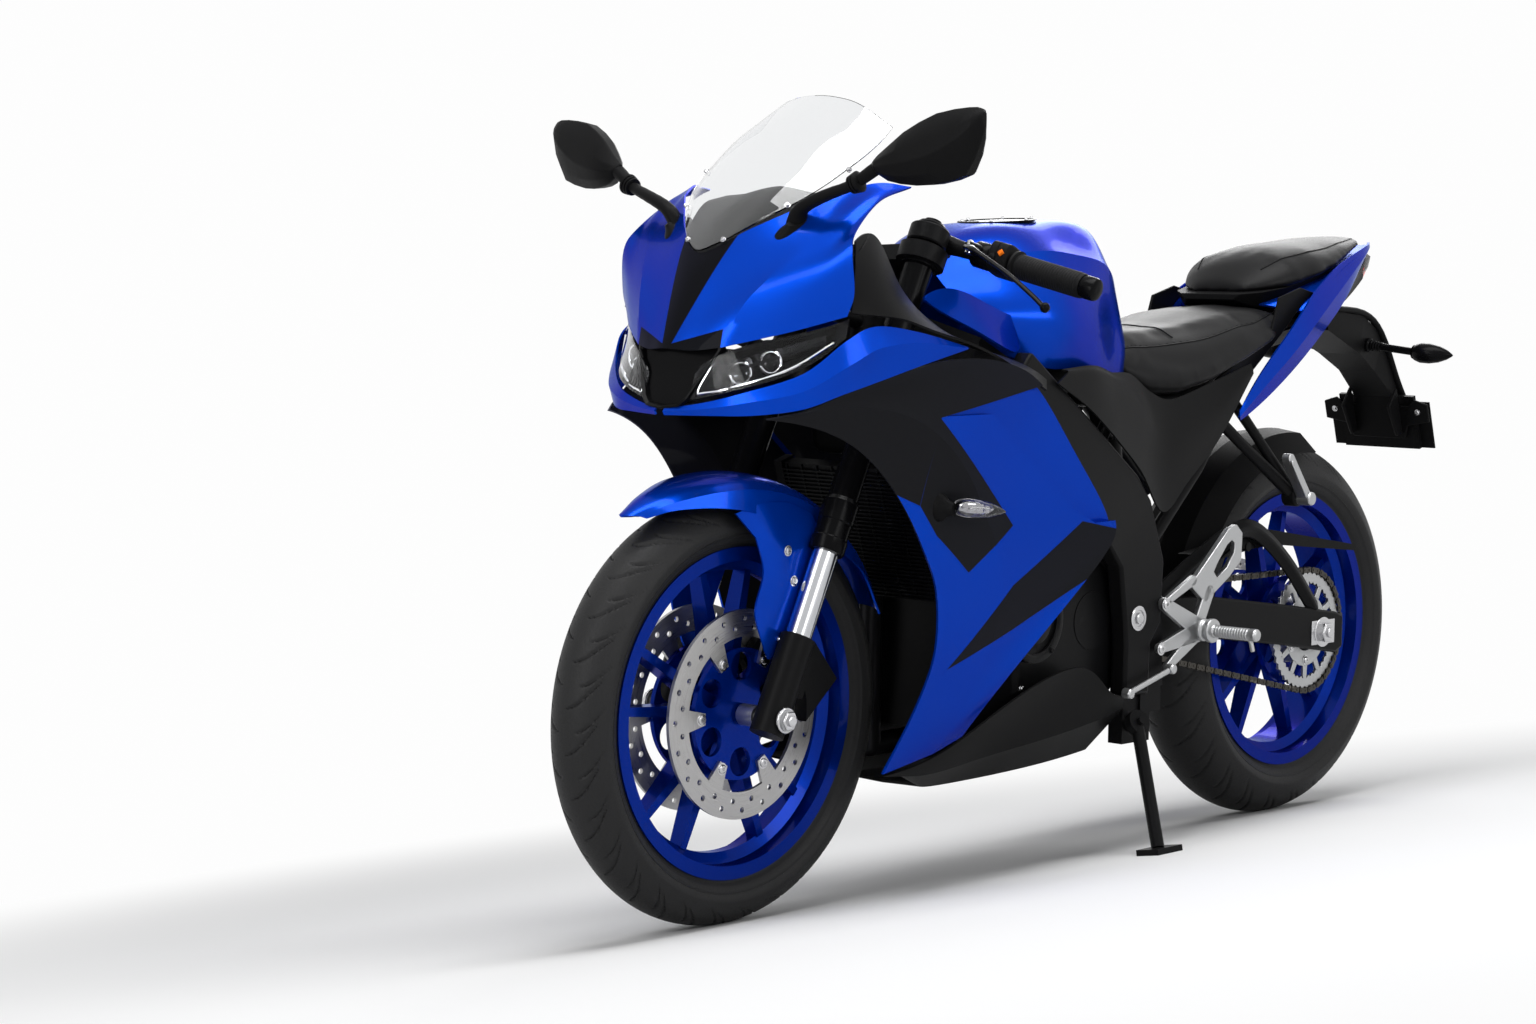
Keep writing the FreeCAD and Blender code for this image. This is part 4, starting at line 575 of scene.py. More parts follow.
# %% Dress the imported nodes
dressing = {
    blue_paint: ("front_mudguard", "fuel_tank", "tank_shrouds", "tail_cowl", "nose_wings"),
    wheel_paint: ("front_wheel", "rear_wheel"),
    fairing_paint: ("fairing_left", "fairing_right"),
    nose_paint: ("nose_cowl",),
    graphite: ("belly_pan", "cockpit_sides", "side_covers"),
    black_plastic: ("hugger", "chain_guard", "undertray", "plate_holder", "number_plate", "instruments",
                    "mirrors", "rear_signals", "front_signals", "controls", "panel_stays"),
    gloss_black: ("nose_intake", "headlights"),
    frame_black: ("main_frame", "subframe", "swingarm", "front_stay", "yokes", "handlebars", "fork_lowers",
                  "fork_uppers", "side_stand", "front_calipers", "pillion_pegs"),
    tyre_rubber: ("front_tyre", "rear_tyre"),
    seat_vinyl: ("rider_seat", "pillion_seat"),
    engine_black: ("engine", "radiator", "rear_shock"),
    silver_cast: ("rearset_left", "rearset_right", "rear_sprocket", "front_axle", "fuel_lid", "lid_hinge"),
    fork_chrome: ("fork_tubes",),
    chain_steel: ("chain",),
    disc_front: ("front_discs",),
    disc_rear: ("rear_disc",),
    exhaust_steel: ("exhaust",),
    screen_clear: ("windscreen",),
    lamp_clear: ("headlight_covers",),
    tail_red: ("tail_light",),
}
for finish, names in dressing.items():
    for name in names:
        mesh = nodes[name].data
        mesh.materials.clear()
        mesh.materials.append(finish)
dressed = {name for names in dressing.values() for name in names}
print("undressed:", sorted(set(nodes) - dressed))

# %% [markdown]
# ## Modelling
#
# A form is a list of points in upright millimetres and a list of faces. Rings of points skinned
# together make most shapes: a turned profile, a tube along a line, a lofted housing. Each form
# becomes one piece, with its shading split where two faces meet at a real corner.

# %% Forms
def joined(*forms):
    """Several forms as one."""
    points, faces = [], []
    for more_points, more_faces in forms:
        start = len(points)
        points += more_points
        faces += [tuple(start + i for i in face) for face in more_faces]
    return points, faces


def skin(rings, caps=True, around=True):
    """Faces between each ring of points and the next."""
    count = len(rings[0])
    points = [Vector(point) for ring in rings for point in ring]
    faces = []
    for i in range(len(rings) - 1):
        for j in range(count if around else count - 1):
            a, b = i * count + j, i * count + (j + 1) % count
            faces.append((a, b, b + count, a + count))
    if caps:
        faces += [tuple(reversed(range(count))), tuple(range(len(points) - count, len(points)))]
    return points, faces


def square_to(axis):
    """Two directions square to an axis and to each other."""
    axis = Vector(axis).normalized()
    helper = Vector((0, 0, 1)) if abs(axis.z) < 0.9 else Vector((1, 0, 0))
    first = axis.cross(helper).normalized()
    return first, axis.cross(first)


def full_turn(count):
    """Even angles round a full turn."""
    return [2 * math.pi * k / count for k in range(count)]


def spoke(turn):
    """A step of one in the side view, at an angle up from straight ahead."""
    return Vector((math.cos(turn), 0, math.sin(turn)))


def turned(profile, centre, axis=(0, 1, 0), sides=32, loop=False):
    """A profile of (way along the axis, radius) turned about the axis through the centre."""
    first, second = square_to(axis)
    axis, centre = Vector(axis).normalized(), Vector(centre)
    outward = [first * math.cos(turn) + second * math.sin(turn) for turn in full_turn(sides)]
    rings = [[centre + axis * along + way * radius for way in outward] for along, radius in profile]
    if loop:
        rings.append(rings[0])
    return skin(rings, caps=not loop)


def smooth_line(line, steps=4, closed=False):
    """More points on a smooth curve through the given ones."""
    line = [Vector(point) for point in line]
    count = len(line)
    spans = count if closed else count - 1
    found = []
    for i in range(spans):
        before = line[i - 1] if closed or i > 0 else line[0] * 2 - line[1]
        start, end = line[i], line[(i + 1) % count]
        after = line[(i + 2) % count] if closed or i < count - 2 else end * 2 - start
        for k in range(steps):
            t = k / steps
            found.append(0.5 * (2 * start + (end - before) * t
                                + (2 * before - 5 * start + 4 * end - after) * t ** 2
                                + (3 * start - before - 3 * end + after) * t ** 3))
    return found if closed else found + [line[-1]]


def tube(line, radius, sides=12, flat=1.0, flat_way=(0, 0, 1)):
    """A tube along a line; radius is one number or one a point, flat squashes it one way."""
    line = [Vector(point) for point in line]
    rings = []
    for i, point in enumerate(line):
        way = (line[min(i + 1, len(line) - 1)] - line[max(i - 1, 0)]).normalized()
        up = (Vector(flat_way) - way * way.dot(Vector(flat_way))).normalized()
        side = way.cross(up)
        reach = radius[i] if isinstance(radius, (list, tuple)) else radius
        rings.append([point + side * reach * math.cos(turn) + up * reach * flat * math.sin(turn)
                      for turn in full_turn(sides)])
    return skin(rings)


def slab(outline, depth):
    """A flat plate: its outline, and the same outline moved by the depth."""
    return skin([outline, [Vector(point) + Vector(depth) for point in outline]])


def upright_rings(outlines):
    """Rings of points from (outline, y) pairs, each outline a list of (x, z)."""
    return [[Vector((x, y, z)) for x, z in outline] for outline, y in outlines]


def flipped(form):
    """The form on the other side of the machine."""
    points, faces = form
    return [Vector((p.x, -p.y, p.z)) for p in points], [tuple(reversed(face)) for face in faces]


def unchanged(form):
    return form


def pair(form):
    """The form on both sides of the machine, as one."""
    return joined(form, flipped(form))


SIDES = (("left", unchanged), ("right", flipped))
LEFT, RIGHT = Vector((0, 1, 0)), Vector((0, -1, 0))
RAKE = math.radians(25.5)
FRONT_AXLE = Vector((662.5, 0, 296))
REAR_AXLE = Vector((-662.5, 0, 314))


def fork(x, y, z):
    """A point given along the fork: z up the leg from the axle, x forward of it."""
    return FRONT_AXLE + Vector((x * math.cos(RAKE) - z * math.sin(RAKE), y,
                                x * math.sin(RAKE) + z * math.cos(RAKE)))


FORK_UP = fork(0, 0, 1) - FRONT_AXLE
FORK_AHEAD = fork(1, 0, 0) - FRONT_AXLE

# %% From form to piece
def shade(mesh, limit):
    """Smooth faces, split at edges sharper than the limit in degrees."""
    grid = bmesh.new()
    grid.from_mesh(mesh)
    bmesh.ops.recalc_face_normals(grid, faces=grid.faces)
    for face in grid.faces:
        face.smooth = True
    for edge in grid.edges:
        edge.smooth = len(edge.link_faces) == 2 and edge.calc_face_angle(0) < math.radians(limit)
    grid.to_mesh(mesh)
    grid.free()


def piece(name, form, finish, body, bevel=0.0, rounds=0, limit=35):
    """One object from a form; bevel is in millimetres and rounds is subdivision."""
    points, faces = form
    mesh = bpy.data.meshes.new(name)
    mesh.from_pydata([at(*point) for point in points], [], faces)
    shade(mesh, limit)
    mesh.materials.append(finish)
    made = bpy.data.objects.new(name, mesh)
    bpy.context.collection.objects.link(made)
    if bevel:
        edges = made.modifiers.new("rounded edges", "BEVEL")
        edges.width = bevel / 1000
        edges.segments = 2
        edges.limit_method = "ANGLE"
        edges.angle_limit = math.radians(limit)
    if rounds:
        softer = made.modifiers.new("subdivision", "SUBSURF")
        softer.levels = softer.render_levels = rounds
    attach(made, body)
    print(name, len(mesh.polygons), "faces")
    return made


# %% [markdown]
# ## Tyres
#
# A road tyre has a round crown cut by thin curved slashes, a plain shoulder, and a wall with
# fine moulded rings. The slashes are real grooves: the crown is a fine grid whose points sink
# where a slash passes. Each slash leans back as it runs out, and left and right ones alternate.

# %% Tread and tyre walls
SLASH_DEPTH = 3.2
SLASHES = ((0.10, 0.80, 0.17, 0.0, 1.5), (0.34, 0.86, 0.12, 0.5, 1.1))
BEAD_RADIUS = 217
WALL_FOOT = 237.5
MOULDED_RINGS = (0.42, 0.46)
SHOULDER_SHARE = 0.38
TREAD_STEPS = 56


def slash_depth(turn, reach, radius, count):
    """How deep the tread is cut, at a turn about the axle and a signed reach over the crown."""
    out = abs(reach)
    side = 0.5 if reach > 0 else 0.0
    pitch = 2 * math.pi / count
    deepest = 0.0
    for start, end, lean, offset, half_width in SLASHES:
        if not start < out < end:
            continue
        along = (out - start) / (end - start)
        centre = lean * along ** 1.6 + (side + offset) * pitch
        miss = abs((turn - centre + pitch / 2) % pitch - pitch / 2) * radius
        width = half_width * min(1.0, 5 * along, 5 * (1 - along)) + 0.3
        deepest = max(deepest, min(1.0, max(0.0, (width + 0.6 - miss) / 1.2)))
    return deepest * SLASH_DEPTH


def tyre_form(centre, radius, width, rim_width, count):
    """Grid of a tyre: round the axle in fine steps and across from bead to bead."""
    turns = 900
    shoulder_drop = SHOULDER_SHARE * width
    crown = ((width / 2) ** 2 + shoulder_drop ** 2) / (2 * shoulder_drop)
    spread = math.asin(width / 2 / crown)
    seat = rim_width / 2 - 3
    wall = [(seat, BEAD_RADIUS), (seat, 231), (seat + 1.5, 233.5), (seat + 4, 235), (seat + 7, WALL_FOOT)]
    low = radius - shoulder_drop
    for part in (0.25, 0.4, 0.42, 0.46, 0.48, 0.62, 0.8, 0.94):
        ring = 0.7 if part in MOULDED_RINGS else 0.0
        run = seat + 7 + (width / 2 - seat - 7) * math.sin(part * math.pi / 2)
        wall.append((run + ring, WALL_FOOT + (low - WALL_FOOT) * part))
    left = [(across, height, None) for across, height in wall]
    tread = []
    for k in range(TREAD_STEPS + 1):
        reach = 1 - 2 * k / TREAD_STEPS
        lean = spread * reach
        tread.append((crown * math.sin(lean), radius - crown + crown * math.cos(lean), reach))
    profile = left + tread + [(-across, height, None) for across, height, _ in reversed(left)]
    profile += [(11 - seat, BEAD_RADIUS, None), (0, radius - 12, None), (seat - 11, BEAD_RADIUS, None)]
    rings = []
    for turn in full_turn(turns):
        ring = []
        for across, height, reach in profile:
            cut = slash_depth(turn, reach, radius, count) if reach is not None else 0.0
            ring.append(centre + spoke(turn) * (height - cut) + LEFT * across)
        rings.append(ring)
    rings.append(rings[0])
    return skin(rings, caps=False)


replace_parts(piece("front_tyre_tread", tyre_form(FRONT_AXLE, 296, 100, 76, 30), tyre_rubber, "front_wheel",
                  limit=50), "front_tyre")
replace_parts(piece("rear_tyre_tread", tyre_form(REAR_AXLE, 314, 140, 108, 26), tyre_rubber, "rear_wheel",
                  limit=50), "rear_tyre")

# %% [markdown]
# ## Chain
#
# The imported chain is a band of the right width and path. The real one is some hundred and thirty
# links: waisted side plates in pairs, alternately inside and outside, on round rollers. One link
# is modelled and laid along the same path, which runs straight between two arcs. The links that
# the gearbox's cover hides are left out.

# %% Chain links
CHAIN_LINE = 86
HIDDEN_BEYOND = -70
PITCH = 12.7
GEAR_CENTRE = Vector((-40, 0, 381))
BIG, SMALL = 101, 34
PLATE = 1.5

chain_run = GEAR_CENTRE - REAR_AXLE
lift = math.asin((BIG - SMALL) / chain_run.length)
heading_up = math.atan2(chain_run.z, chain_run.x)
top_turn, low_turn = heading_up + math.pi / 2 - lift, heading_up - math.pi / 2 + lift
straight = chain_run.length * math.cos(lift)
front_arc = SMALL * (top_turn - low_turn)
loop_length = 2 * straight + front_arc + BIG * (2 * math.pi - top_turn + low_turn)


def chain_path(way):
    """The place and heading at a length along the chain's loop."""
    if way < straight:
        heading = top_turn - math.pi / 2
        return REAR_AXLE + spoke(top_turn) * BIG + spoke(heading) * way, heading
    way -= straight
    if way < front_arc:
        turn = top_turn - way / SMALL
        return GEAR_CENTRE + spoke(turn) * SMALL, turn - math.pi / 2
    way -= front_arc
    if way < straight:
        heading = low_turn - math.pi / 2
        return GEAR_CENTRE + spoke(low_turn) * SMALL + spoke(heading) * way, heading
    turn = low_turn - (way - straight) / BIG
    return REAR_AXLE + spoke(turn) * BIG, turn - math.pi / 2


def side_plate(across):
    """A waisted plate in its own frame: x along the chain and z square to it."""
    outline = []
    for turn in full_turn(16):
        end = math.copysign(PITCH / 2, math.cos(turn)) if abs(math.cos(turn)) > 0.3 else 0
        reach = 5.2 if end else 3.9
        outline.append(Vector((end, across, 0)) + spoke(turn) * reach)
    return slab(outline, (0, PLATE, 0))


def link_form(outside):
    """One link: an inner pair of plates, or an outer pair with its two pins and rollers."""
    inner = 4.4 if outside else 2.9
    plates = joined(side_plate(inner), side_plate(-inner - PLATE))
    if not outside:
        return plates
    ends = [(-PITCH / 2, 0, 0), (PITCH / 2, 0, 0)]
    pins = [turned([(-6.6, 1.4), (-6.4, 1.9), (6.4, 1.9), (6.6, 1.4)], end, sides=8) for end in ends]
    rollers = [turned([(-2.8, 4.0), (2.8, 4.0)], end, sides=12) for end in ends]
    return joined(plates, *pins, *rollers)


link_count = 2 * round(loop_length / PITCH / 2)
links = []
for number in range(link_count):
    middle, heading = chain_path((number + 0.5) * loop_length / link_count)
    if middle.x > HIDDEN_BEYOND:
        continue
    ahead, above = spoke(heading), spoke(heading + math.pi / 2)
    form_points, form_faces = link_form(number % 2 == 0)
    links.append(([middle + ahead * p.x + above * p.z + LEFT * (CHAIN_LINE + p.y)
                   for p in form_points], form_faces))
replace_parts(piece("chain_links", joined(*links), chain_steel, "chassis", limit=30), "chain")
print("links", link_count, "loop", round(loop_length))

# %% [markdown]
# ## Fasteners, seals and other small hardware
#
# Small bright heads tell the eye how large the machine is. One function makes a screw with its
# washer and a six-sided socket, and lists of places put them where the real ones sit.

# %% Screws and bolts
HEAD = 3.5


def screw(spot, way, radius):
    """A button head on a washer, with a hexagonal socket."""
    spot, way = Vector(spot), Vector(way).normalized()
    brim, socket = radius * 1.35, radius * 0.42
    head = turned([(-1.5, brim), (0.4, brim), (0.5, radius), (HEAD * 0.6, radius * 0.96),
                   (HEAD, radius * 0.68), (HEAD, socket)], spot, way, 20)
    hole = turned([(HEAD * 0.3, radius * 0.1), (HEAD * 0.3, socket), (HEAD, socket)], spot, way, 6)
    return joined(head, hole)


def on_both_sides(rows):
    """Each row of (place, direction, head radius), and the same on the other side."""
    return [((x, side * y, z), (ahead, side * out, up), radius)
            for (x, y, z), (ahead, out, up), radius in rows for side in (1, -1)]


def hardware(name, rows, body):
    """Screws from rows of (place, direction, head radius) as one piece."""
    form = joined(*[screw(spot, way, radius) for spot, way, radius in rows])
    piece(name, form, bolt_steel, body, limit=30)


DISC_BOLT_RING, SPROCKET_BOLT_RING = 82, 50
disc_rows = on_both_sides([(FRONT_AXLE + spoke(turn) * DISC_BOLT_RING + LEFT * 47.5, LEFT, 6.5)
                           for turn in full_turn(6)])
hardware("front_disc_bolts", disc_rows, "front_wheel")
rear_rows = []
for turn in full_turn(6):
    rear_rows.append((REAR_AXLE + spoke(turn) * DISC_BOLT_RING + RIGHT * 61, RIGHT, 6))
    between = spoke(turn + math.pi / 6) * SPROCKET_BOLT_RING
    rear_rows.append((REAR_AXLE + between + LEFT * 89, LEFT, 6))
hardware("rear_wheel_bolts", rear_rows, "rear_wheel")

# %% [markdown]
# ## Body panels
#
# The painted shells decide how the machine looks, because their long reflections show every
# bump. Each one is a smooth net through a few rows of measured points, which turns sharply only
# at its real creases, and is then given the thickness of moulded plastic towards the inside.

# %% Nets and shells
THIN_PANEL, THICK_PANEL = 2.6, 3


def broken_line(line, steps, stops=()):
    """A smooth line through points that turns sharply at the stops."""
    marks = [0, *stops, len(line) - 1]
    found = []
    for start, end in zip(marks, marks[1:]):
        part = smooth_line(line[start:end + 1], steps)
        found += part[1:] if found else part
    return found


def net(rows, steps=6, creases=(), folds=()):
    """A grid through rows of points; creases are columns, and folds rows, where it turns sharply."""
    rows = [broken_line(row, steps, creases) for row in rows]
    columns = [broken_line([row[k] for row in rows], steps, folds) for k in range(len(rows[0]))]
    return skin(columns, caps=False, around=False)


def full_width(rows):
    """Rows that start on the middle plane, carried on over the machine's other side."""
    return [[(x, -y, z) for x, y, z in reversed(row[1:])] + list(row) for row in rows]


def shell(form, thickness, inside=(200, 0, 560)):
    """A thin solid: the form, the same form further in, and the edge between them."""
    points, faces = form
    normals = [Vector() for _ in points]
    level = 0
    for face in faces:
        a, b, c, d = (points[i] for i in face)
        normal = (c - a).cross(d - b)
        level += normal.dot((a + b + c + d) / 4 - Vector(inside))
        for i in face:
            normals[i] += normal
    sign = 1 if level > 0 else -1
    count = len(points)
    depth = [point - normal.normalized() * sign * thickness for point, normal in zip(points, normals)]
    edges = {}
    for face in faces:
        for i, j in zip(face, face[1:] + face[:1]):
            edges[frozenset((i, j))] = None if frozenset((i, j)) in edges else (i, j)
    rim = [(j, i, i + count, j + count) for i, j in filter(None, edges.values())]
    backs = [tuple(i + count for i in reversed(face)) for face in faces]
    return points + depth, faces + backs + rim


def cut_out(made, cutter_form):
    """Takes a form out of a piece with a boolean, which is applied at once."""
    points, faces = cutter_form
    mesh = bpy.data.meshes.new("cutter")
    mesh.from_pydata([at(*point) for point in points], [], faces)
    shade(mesh, 30)
    cutter = bpy.data.objects.new("cutter", mesh)
    bpy.context.collection.objects.link(cutter)
    trim = made.modifiers.new("cut", "BOOLEAN")
    trim.object = cutter
    trim.solver = "EXACT"
    result = bpy.data.meshes.new_from_object(made.evaluated_get(bpy.context.evaluated_depsgraph_get()))
    made.modifiers.clear()
    made.data = result
    bpy.data.objects.remove(cutter)


# %% [markdown]
# ## Nose
#
# The nose is one panel with a ridge from below each mirror down to the top of the headlight. A
# matte stripe runs down its middle, and black continues as a V over the intake, which is a deep
# funnel between the headlights.

# %% Nose cowl
nose_rows = full_width([
    [(709, 0, 923), (676, 62, 956), (600, 138, 1004), (545, 172, 1020), (495, 190, 1016)],
    [(722, 0, 903), (697, 60, 924), (640, 150, 957), (602, 184, 985), (566, 196, 997)],
    [(737, 0, 875), (716, 58, 890), (676, 136, 917), (644, 184, 938), (627, 206, 955)],
    [(750, 0, 848), (733, 54, 858), (706, 115, 884), (668, 176, 902), (643, 215, 925)],
    [(762, 0, 822), (749, 49, 828), (730, 95, 848), (683, 164, 862), (641, 218, 872)],
    [(775, 0, 795), (764, 42, 793), (747, 79, 798), (694, 150, 819), (643, 208, 841)]])
nose_panel = piece("nose_panel", shell(net(nose_rows, 7, creases=(2, 6)), THIN_PANEL, (500, 0, 800)),
                   nose_paint, "chassis", limit=16)
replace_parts(nose_panel, "nose_cowl")

# %% Intake funnel
mouth_side = [(772, 0, 798), (741, 78, 821), (747, 77, 795), (775, 42, 729), (780, 30, 718), (784, 0, 714)]
mouth_ring = [Vector(p) for p in mouth_side] + [Vector((x, -y, z)) for x, y, z in mouth_side[-2:0:-1]]


def funnel_ring(size, back):
    middle = Vector((768, 0, 758))
    return [middle + (point - middle) * size - Vector((back, 0, 0)) for point in mouth_ring]


funnel = skin([funnel_ring(1.0, 9), funnel_ring(1.0, 0), funnel_ring(0.95, -1), funnel_ring(0.9, 2),
               funnel_ring(0.86, 12), funnel_ring(0.5, 60)])
throat = piece("nose_funnel", funnel, gloss_black, "chassis", limit=20)
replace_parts(throat, "nose_intake")

# %% Wings beside and under the headlights
wing_rows = [
    [(783, 8, 715), (766, 62, 724), (745, 114, 738), (694, 177, 765), (650, 212, 808), (600, 221, 828),
     (520, 231, 820), (429, 240, 800)],
    [(786, 8, 711), (768, 66, 716), (744, 124, 726), (700, 184, 742), (648, 222, 778), (596, 230, 800),
     (520, 238, 806), (431, 243, 798)],
    [(783, 8, 706), (762, 70, 707), (738, 128, 709), (695, 178, 718), (645, 206, 738), (590, 224, 756),
     (520, 236, 776), (434, 241, 796)]]
wing_form = shell(net(wing_rows, 6, folds=(1,)), THIN_PANEL, (500, 0, 780))
for tag, placed in SIDES:
    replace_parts(piece(f"wing_{tag}", placed(wing_form), blue_paint, "chassis", limit=16),
                "nose_wings")

# %% Windscreen and the hood behind it
SCREEN_THICKNESS, HOOD_THICKNESS = 2.4, 2.5
screen_rows = full_width([
    [(713, 0, 927), (704, 24, 936), (690, 46, 949), (662, 75, 972)],
    [(677, 0, 968), (668, 35, 976), (655, 68, 985), (629, 102, 993)],
    [(640, 0, 1010), (633, 42, 1015), (621, 80, 1019), (598, 120, 1014)],
    [(600, 0, 1051), (594, 46, 1054), (582, 87, 1052), (564, 131, 1037)],
    [(560, 0, 1088), (555, 46, 1088), (545, 90, 1082), (530, 136, 1058)],
    [(522, 0, 1119), (517, 44, 1116), (507, 86, 1107), (495, 134, 1079)],
    [(483, 0, 1145), (480, 38, 1142), (473, 76, 1131), (462, 126, 1099)]])
screen_form = shell(net(screen_rows, 6), SCREEN_THICKNESS, (400, 0, 900))
screen_piece = piece("screen", screen_form, screen_clear, "chassis", limit=60)
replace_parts(screen_piece, "windscreen")
hood_rows = full_width([
    [(709, 0, 917), (701, 22, 922), (689, 43, 934)],
    [(686, 0, 944), (678, 38, 944), (664, 66, 952)],
    [(645, 0, 984), (636, 50, 976), (624, 94, 974)],
    [(600, 0, 1006), (594, 56, 998), (584, 110, 994)],
    [(552, 0, 1017), (548, 56, 1008), (540, 114, 1004)]])
hood = shell(net(hood_rows, 6), HOOD_THICKNESS, (560, 0, 900))
meter_outline = [(-70, -34), (-62, -42), (62, -42), (70, -34), (66, 20), (52, 30), (-52, 30), (-66, 20)]
meter_steps = ((0, 0.7), (4, 0.95), (16, 1.0), (24, 1.0), (28, 0.94), (28, 0.86), (24, 0.84))
meter_face = Vector((586, 0, 970))
meter = skin([[meter_face + Vector((-back, y * size, z * size)) for y, z in meter_outline]
              for back, size in meter_steps])
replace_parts(piece("meter_hood", joined(hood, meter), black_plastic, "chassis", limit=30),
            "instruments")
screen_screws = on_both_sides([((699, 33, 941), (0.75, 0.2, 0.62), 3.0),
                               ((640, 95, 988), (0.5, 0.6, 0.62), 3.0),
                               ((560, 134, 1038), (0.3, 0.85, 0.4), 3.0)])
hardware("screen_screws", screen_screws, "chassis")

# %% [markdown]
# ## Inside the headlights
#
# A pleated reflector fills the back of each lamp: flat flutes at slightly different angles,
# which sparkle. A dark shelf divides it, and a bright rim follows the lamp's lower edge.

# %% Pleated reflectors
lamp_top = [(752, 62, 771), (741, 88, 783), (700, 142, 804), (656, 188, 822)]
lamp_low = [(760, 60, 735), (738, 106, 748), (700, 155, 767), (664, 192, 796)]
lamp_face = Vector((0.795, 0.523, 0.307))


def pleats(start, end, top_share, low_share, folds, depth):
    """A pleated sheet across part of the lamp; shares run from its lower edge up to its top."""
    tops, lows = smooth_line(lamp_top, 20), smooth_line(lamp_low, 20)
    rows = []
    for share in (low_share, (low_share * 2 + top_share) / 3, (low_share + top_share * 2) / 3, top_share):
        row = []
        for k in range(folds + 1):
            i = round((start + (end - start) * k / folds) * (len(tops) - 1))
            centre = lows[i].lerp(tops[i], share)
            bowl_depth = depth * (1 - (2 * share - 1) ** 2) * 0.5
            row.append(centre - lamp_face * (12 + bowl_depth + (4 if k % 2 else 0)))
        rows.append(row)
    return shell(skin(rows, caps=False, around=False), 1.2, (500, 0, 780))


reflectors = joined(pleats(0.05, 0.62, 0.62, 0.04, 18, 14), pleats(0.3, 0.96, 0.98, 0.7, 20, 8))
shelf_front, shelf_back = [], []
tops, lows = smooth_line(lamp_top, 20), smooth_line(lamp_low, 20)
for k in range(9):
    i = round((0.16 + 0.8 * k / 8) * (len(tops) - 1))
    centre = lows[i].lerp(tops[i], 0.66)
    shelf_front.append(centre - lamp_face * 5)
    shelf_back.append(centre - lamp_face * 26)
shelf = shell(skin([shelf_front, shelf_back], caps=False, around=False), 4, (700, 140, 600))

# %% [markdown]
# ## Tank and side covers
#
# The tank is wide at the knees and narrow at both ends, with a crease along each side and a
# hollow behind it for the rider's leg. Below it the dark side covers close the gap down to the
# frame.

# %% Tank
tank_rows = [
    [(286, 0, 931), (284, 28, 927), (284, 61, 896), (284, 108, 846), (284, 96, 802)],
    [(232, 0, 953), (232, 54, 947), (232, 94, 916), (232, 153, 846), (232, 139, 786)],
    [(150, 0, 972), (150, 74, 967), (150, 140, 934), (150, 187, 838), (150, 166, 764)],
    [(50, 0, 979), (50, 76, 971), (50, 137, 929), (50, 170, 830), (50, 160, 766)],
    [(-36, 0, 982), (-36, 70, 973), (-36, 121, 917), (-36, 138, 815), (-36, 139, 750)],
    [(-84, 0, 970), (-84, 60, 956), (-84, 104, 890), (-84, 124, 800), (-84, 124, 752)],
    [(-110, 0, 912), (-110, 46, 900), (-110, 82, 858), (-110, 105, 798), (-110, 102, 756)],
    [(-115, 0, 850), (-115, 32, 842), (-115, 60, 816), (-114, 84, 784), (-112, 92, 757)],
    [(-116, 0, 758), (-116, 30, 757), (-116, 52, 757), (-115, 68, 756), (-113, 82, 755)]]
tank_form = shell(net(full_width(tank_rows), 7, creases=(2, 6)), THICK_PANEL, (100, 0, 800))
tank_skin = piece("tank_skin", tank_form, blue_paint, "chassis", limit=20)
CAP_X = 72
CAP_HOLE, CAP_SCREW_RING = 52, 55.5
CAP_LEAN = math.radians(4)
cap_way = Vector((math.sin(CAP_LEAN), 0, math.cos(CAP_LEAN)))
cut_out(tank_skin, turned([(-30, CAP_HOLE), (60, CAP_HOLE)], (CAP_X, 0, 976), cap_way, 48))
shade(tank_skin.data, 20)
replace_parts(tank_skin, "fuel_tank")
cap_profile = [(-11, 1), (-11, 52.5), (1.2, 52.5), (2.6, 55), (2.2, 59), (0.4, 60), (-1, 56), (-12, 54),
               (-13, 1)]
piece("tank_cap_seat", turned(cap_profile, (CAP_X, 0, 978), cap_way, 48), gloss_black, "chassis")
cap_screws = []
for turn in full_turn(6):
    forward = CAP_SCREW_RING * math.cos(turn + math.pi / 6)
    out = CAP_SCREW_RING * math.sin(turn + math.pi / 6)
    cap_screws.append(((CAP_X + forward, out, 980.2 - forward * 0.07), cap_way, 2.6))
hardware("tank_cap_screws", cap_screws, "chassis")

# %% Side covers
cover_rows = [
    [(150, 188, 764), (60, 178, 768), (-10, 158, 756), (-80, 142, 752), (-133, 142, 724), (-190, 142, 712),
     (-300, 143, 738), (-392, 148, 764)],
    [(140, 192, 760), (58, 184, 752), (-8, 170, 734), (-86, 158, 700), (-148, 154, 640), (-208, 152, 650),
     (-306, 149, 694), (-394, 150, 756)],
    [(168, 196, 744), (84, 190, 706), (14, 184, 664), (-76, 170, 606), (-156, 154, 540), (-226, 150, 584),
     (-314, 147, 650), (-398, 149, 748)]]
cover_form = shell(net(cover_rows, 6, creases=(2,)), THICK_PANEL, (-60, 0, 680))
for tag, placed in SIDES:
    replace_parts(piece(f"side_cover_{tag}", placed(cover_form), graphite, "chassis",
                      limit=16), "side_covers")

# %% Radiator with its fins
RADIATOR_FOOT = Vector((316, 0, 438))
RADIATOR_LEAN = 18


def at_radiator(x, y, z):
    """A place on the radiator, in its own frame: x forward of its foot and z up it."""
    lean = math.radians(RADIATOR_LEAN)
    return RADIATOR_FOOT + Vector((x * math.cos(lean) + z * math.sin(lean), y,
                                   z * math.cos(lean) - x * math.sin(lean)))


def radiator_block(low, high):
    """A straight block between two corners in the radiator's own frame."""
    corners = ((low[0], low[1]), (high[0], low[1]), (high[0], high[1]), (low[0], high[1]))
    return skin([[at_radiator(x, y, z) for x, y in corners] for z in (low[2], high[2])])


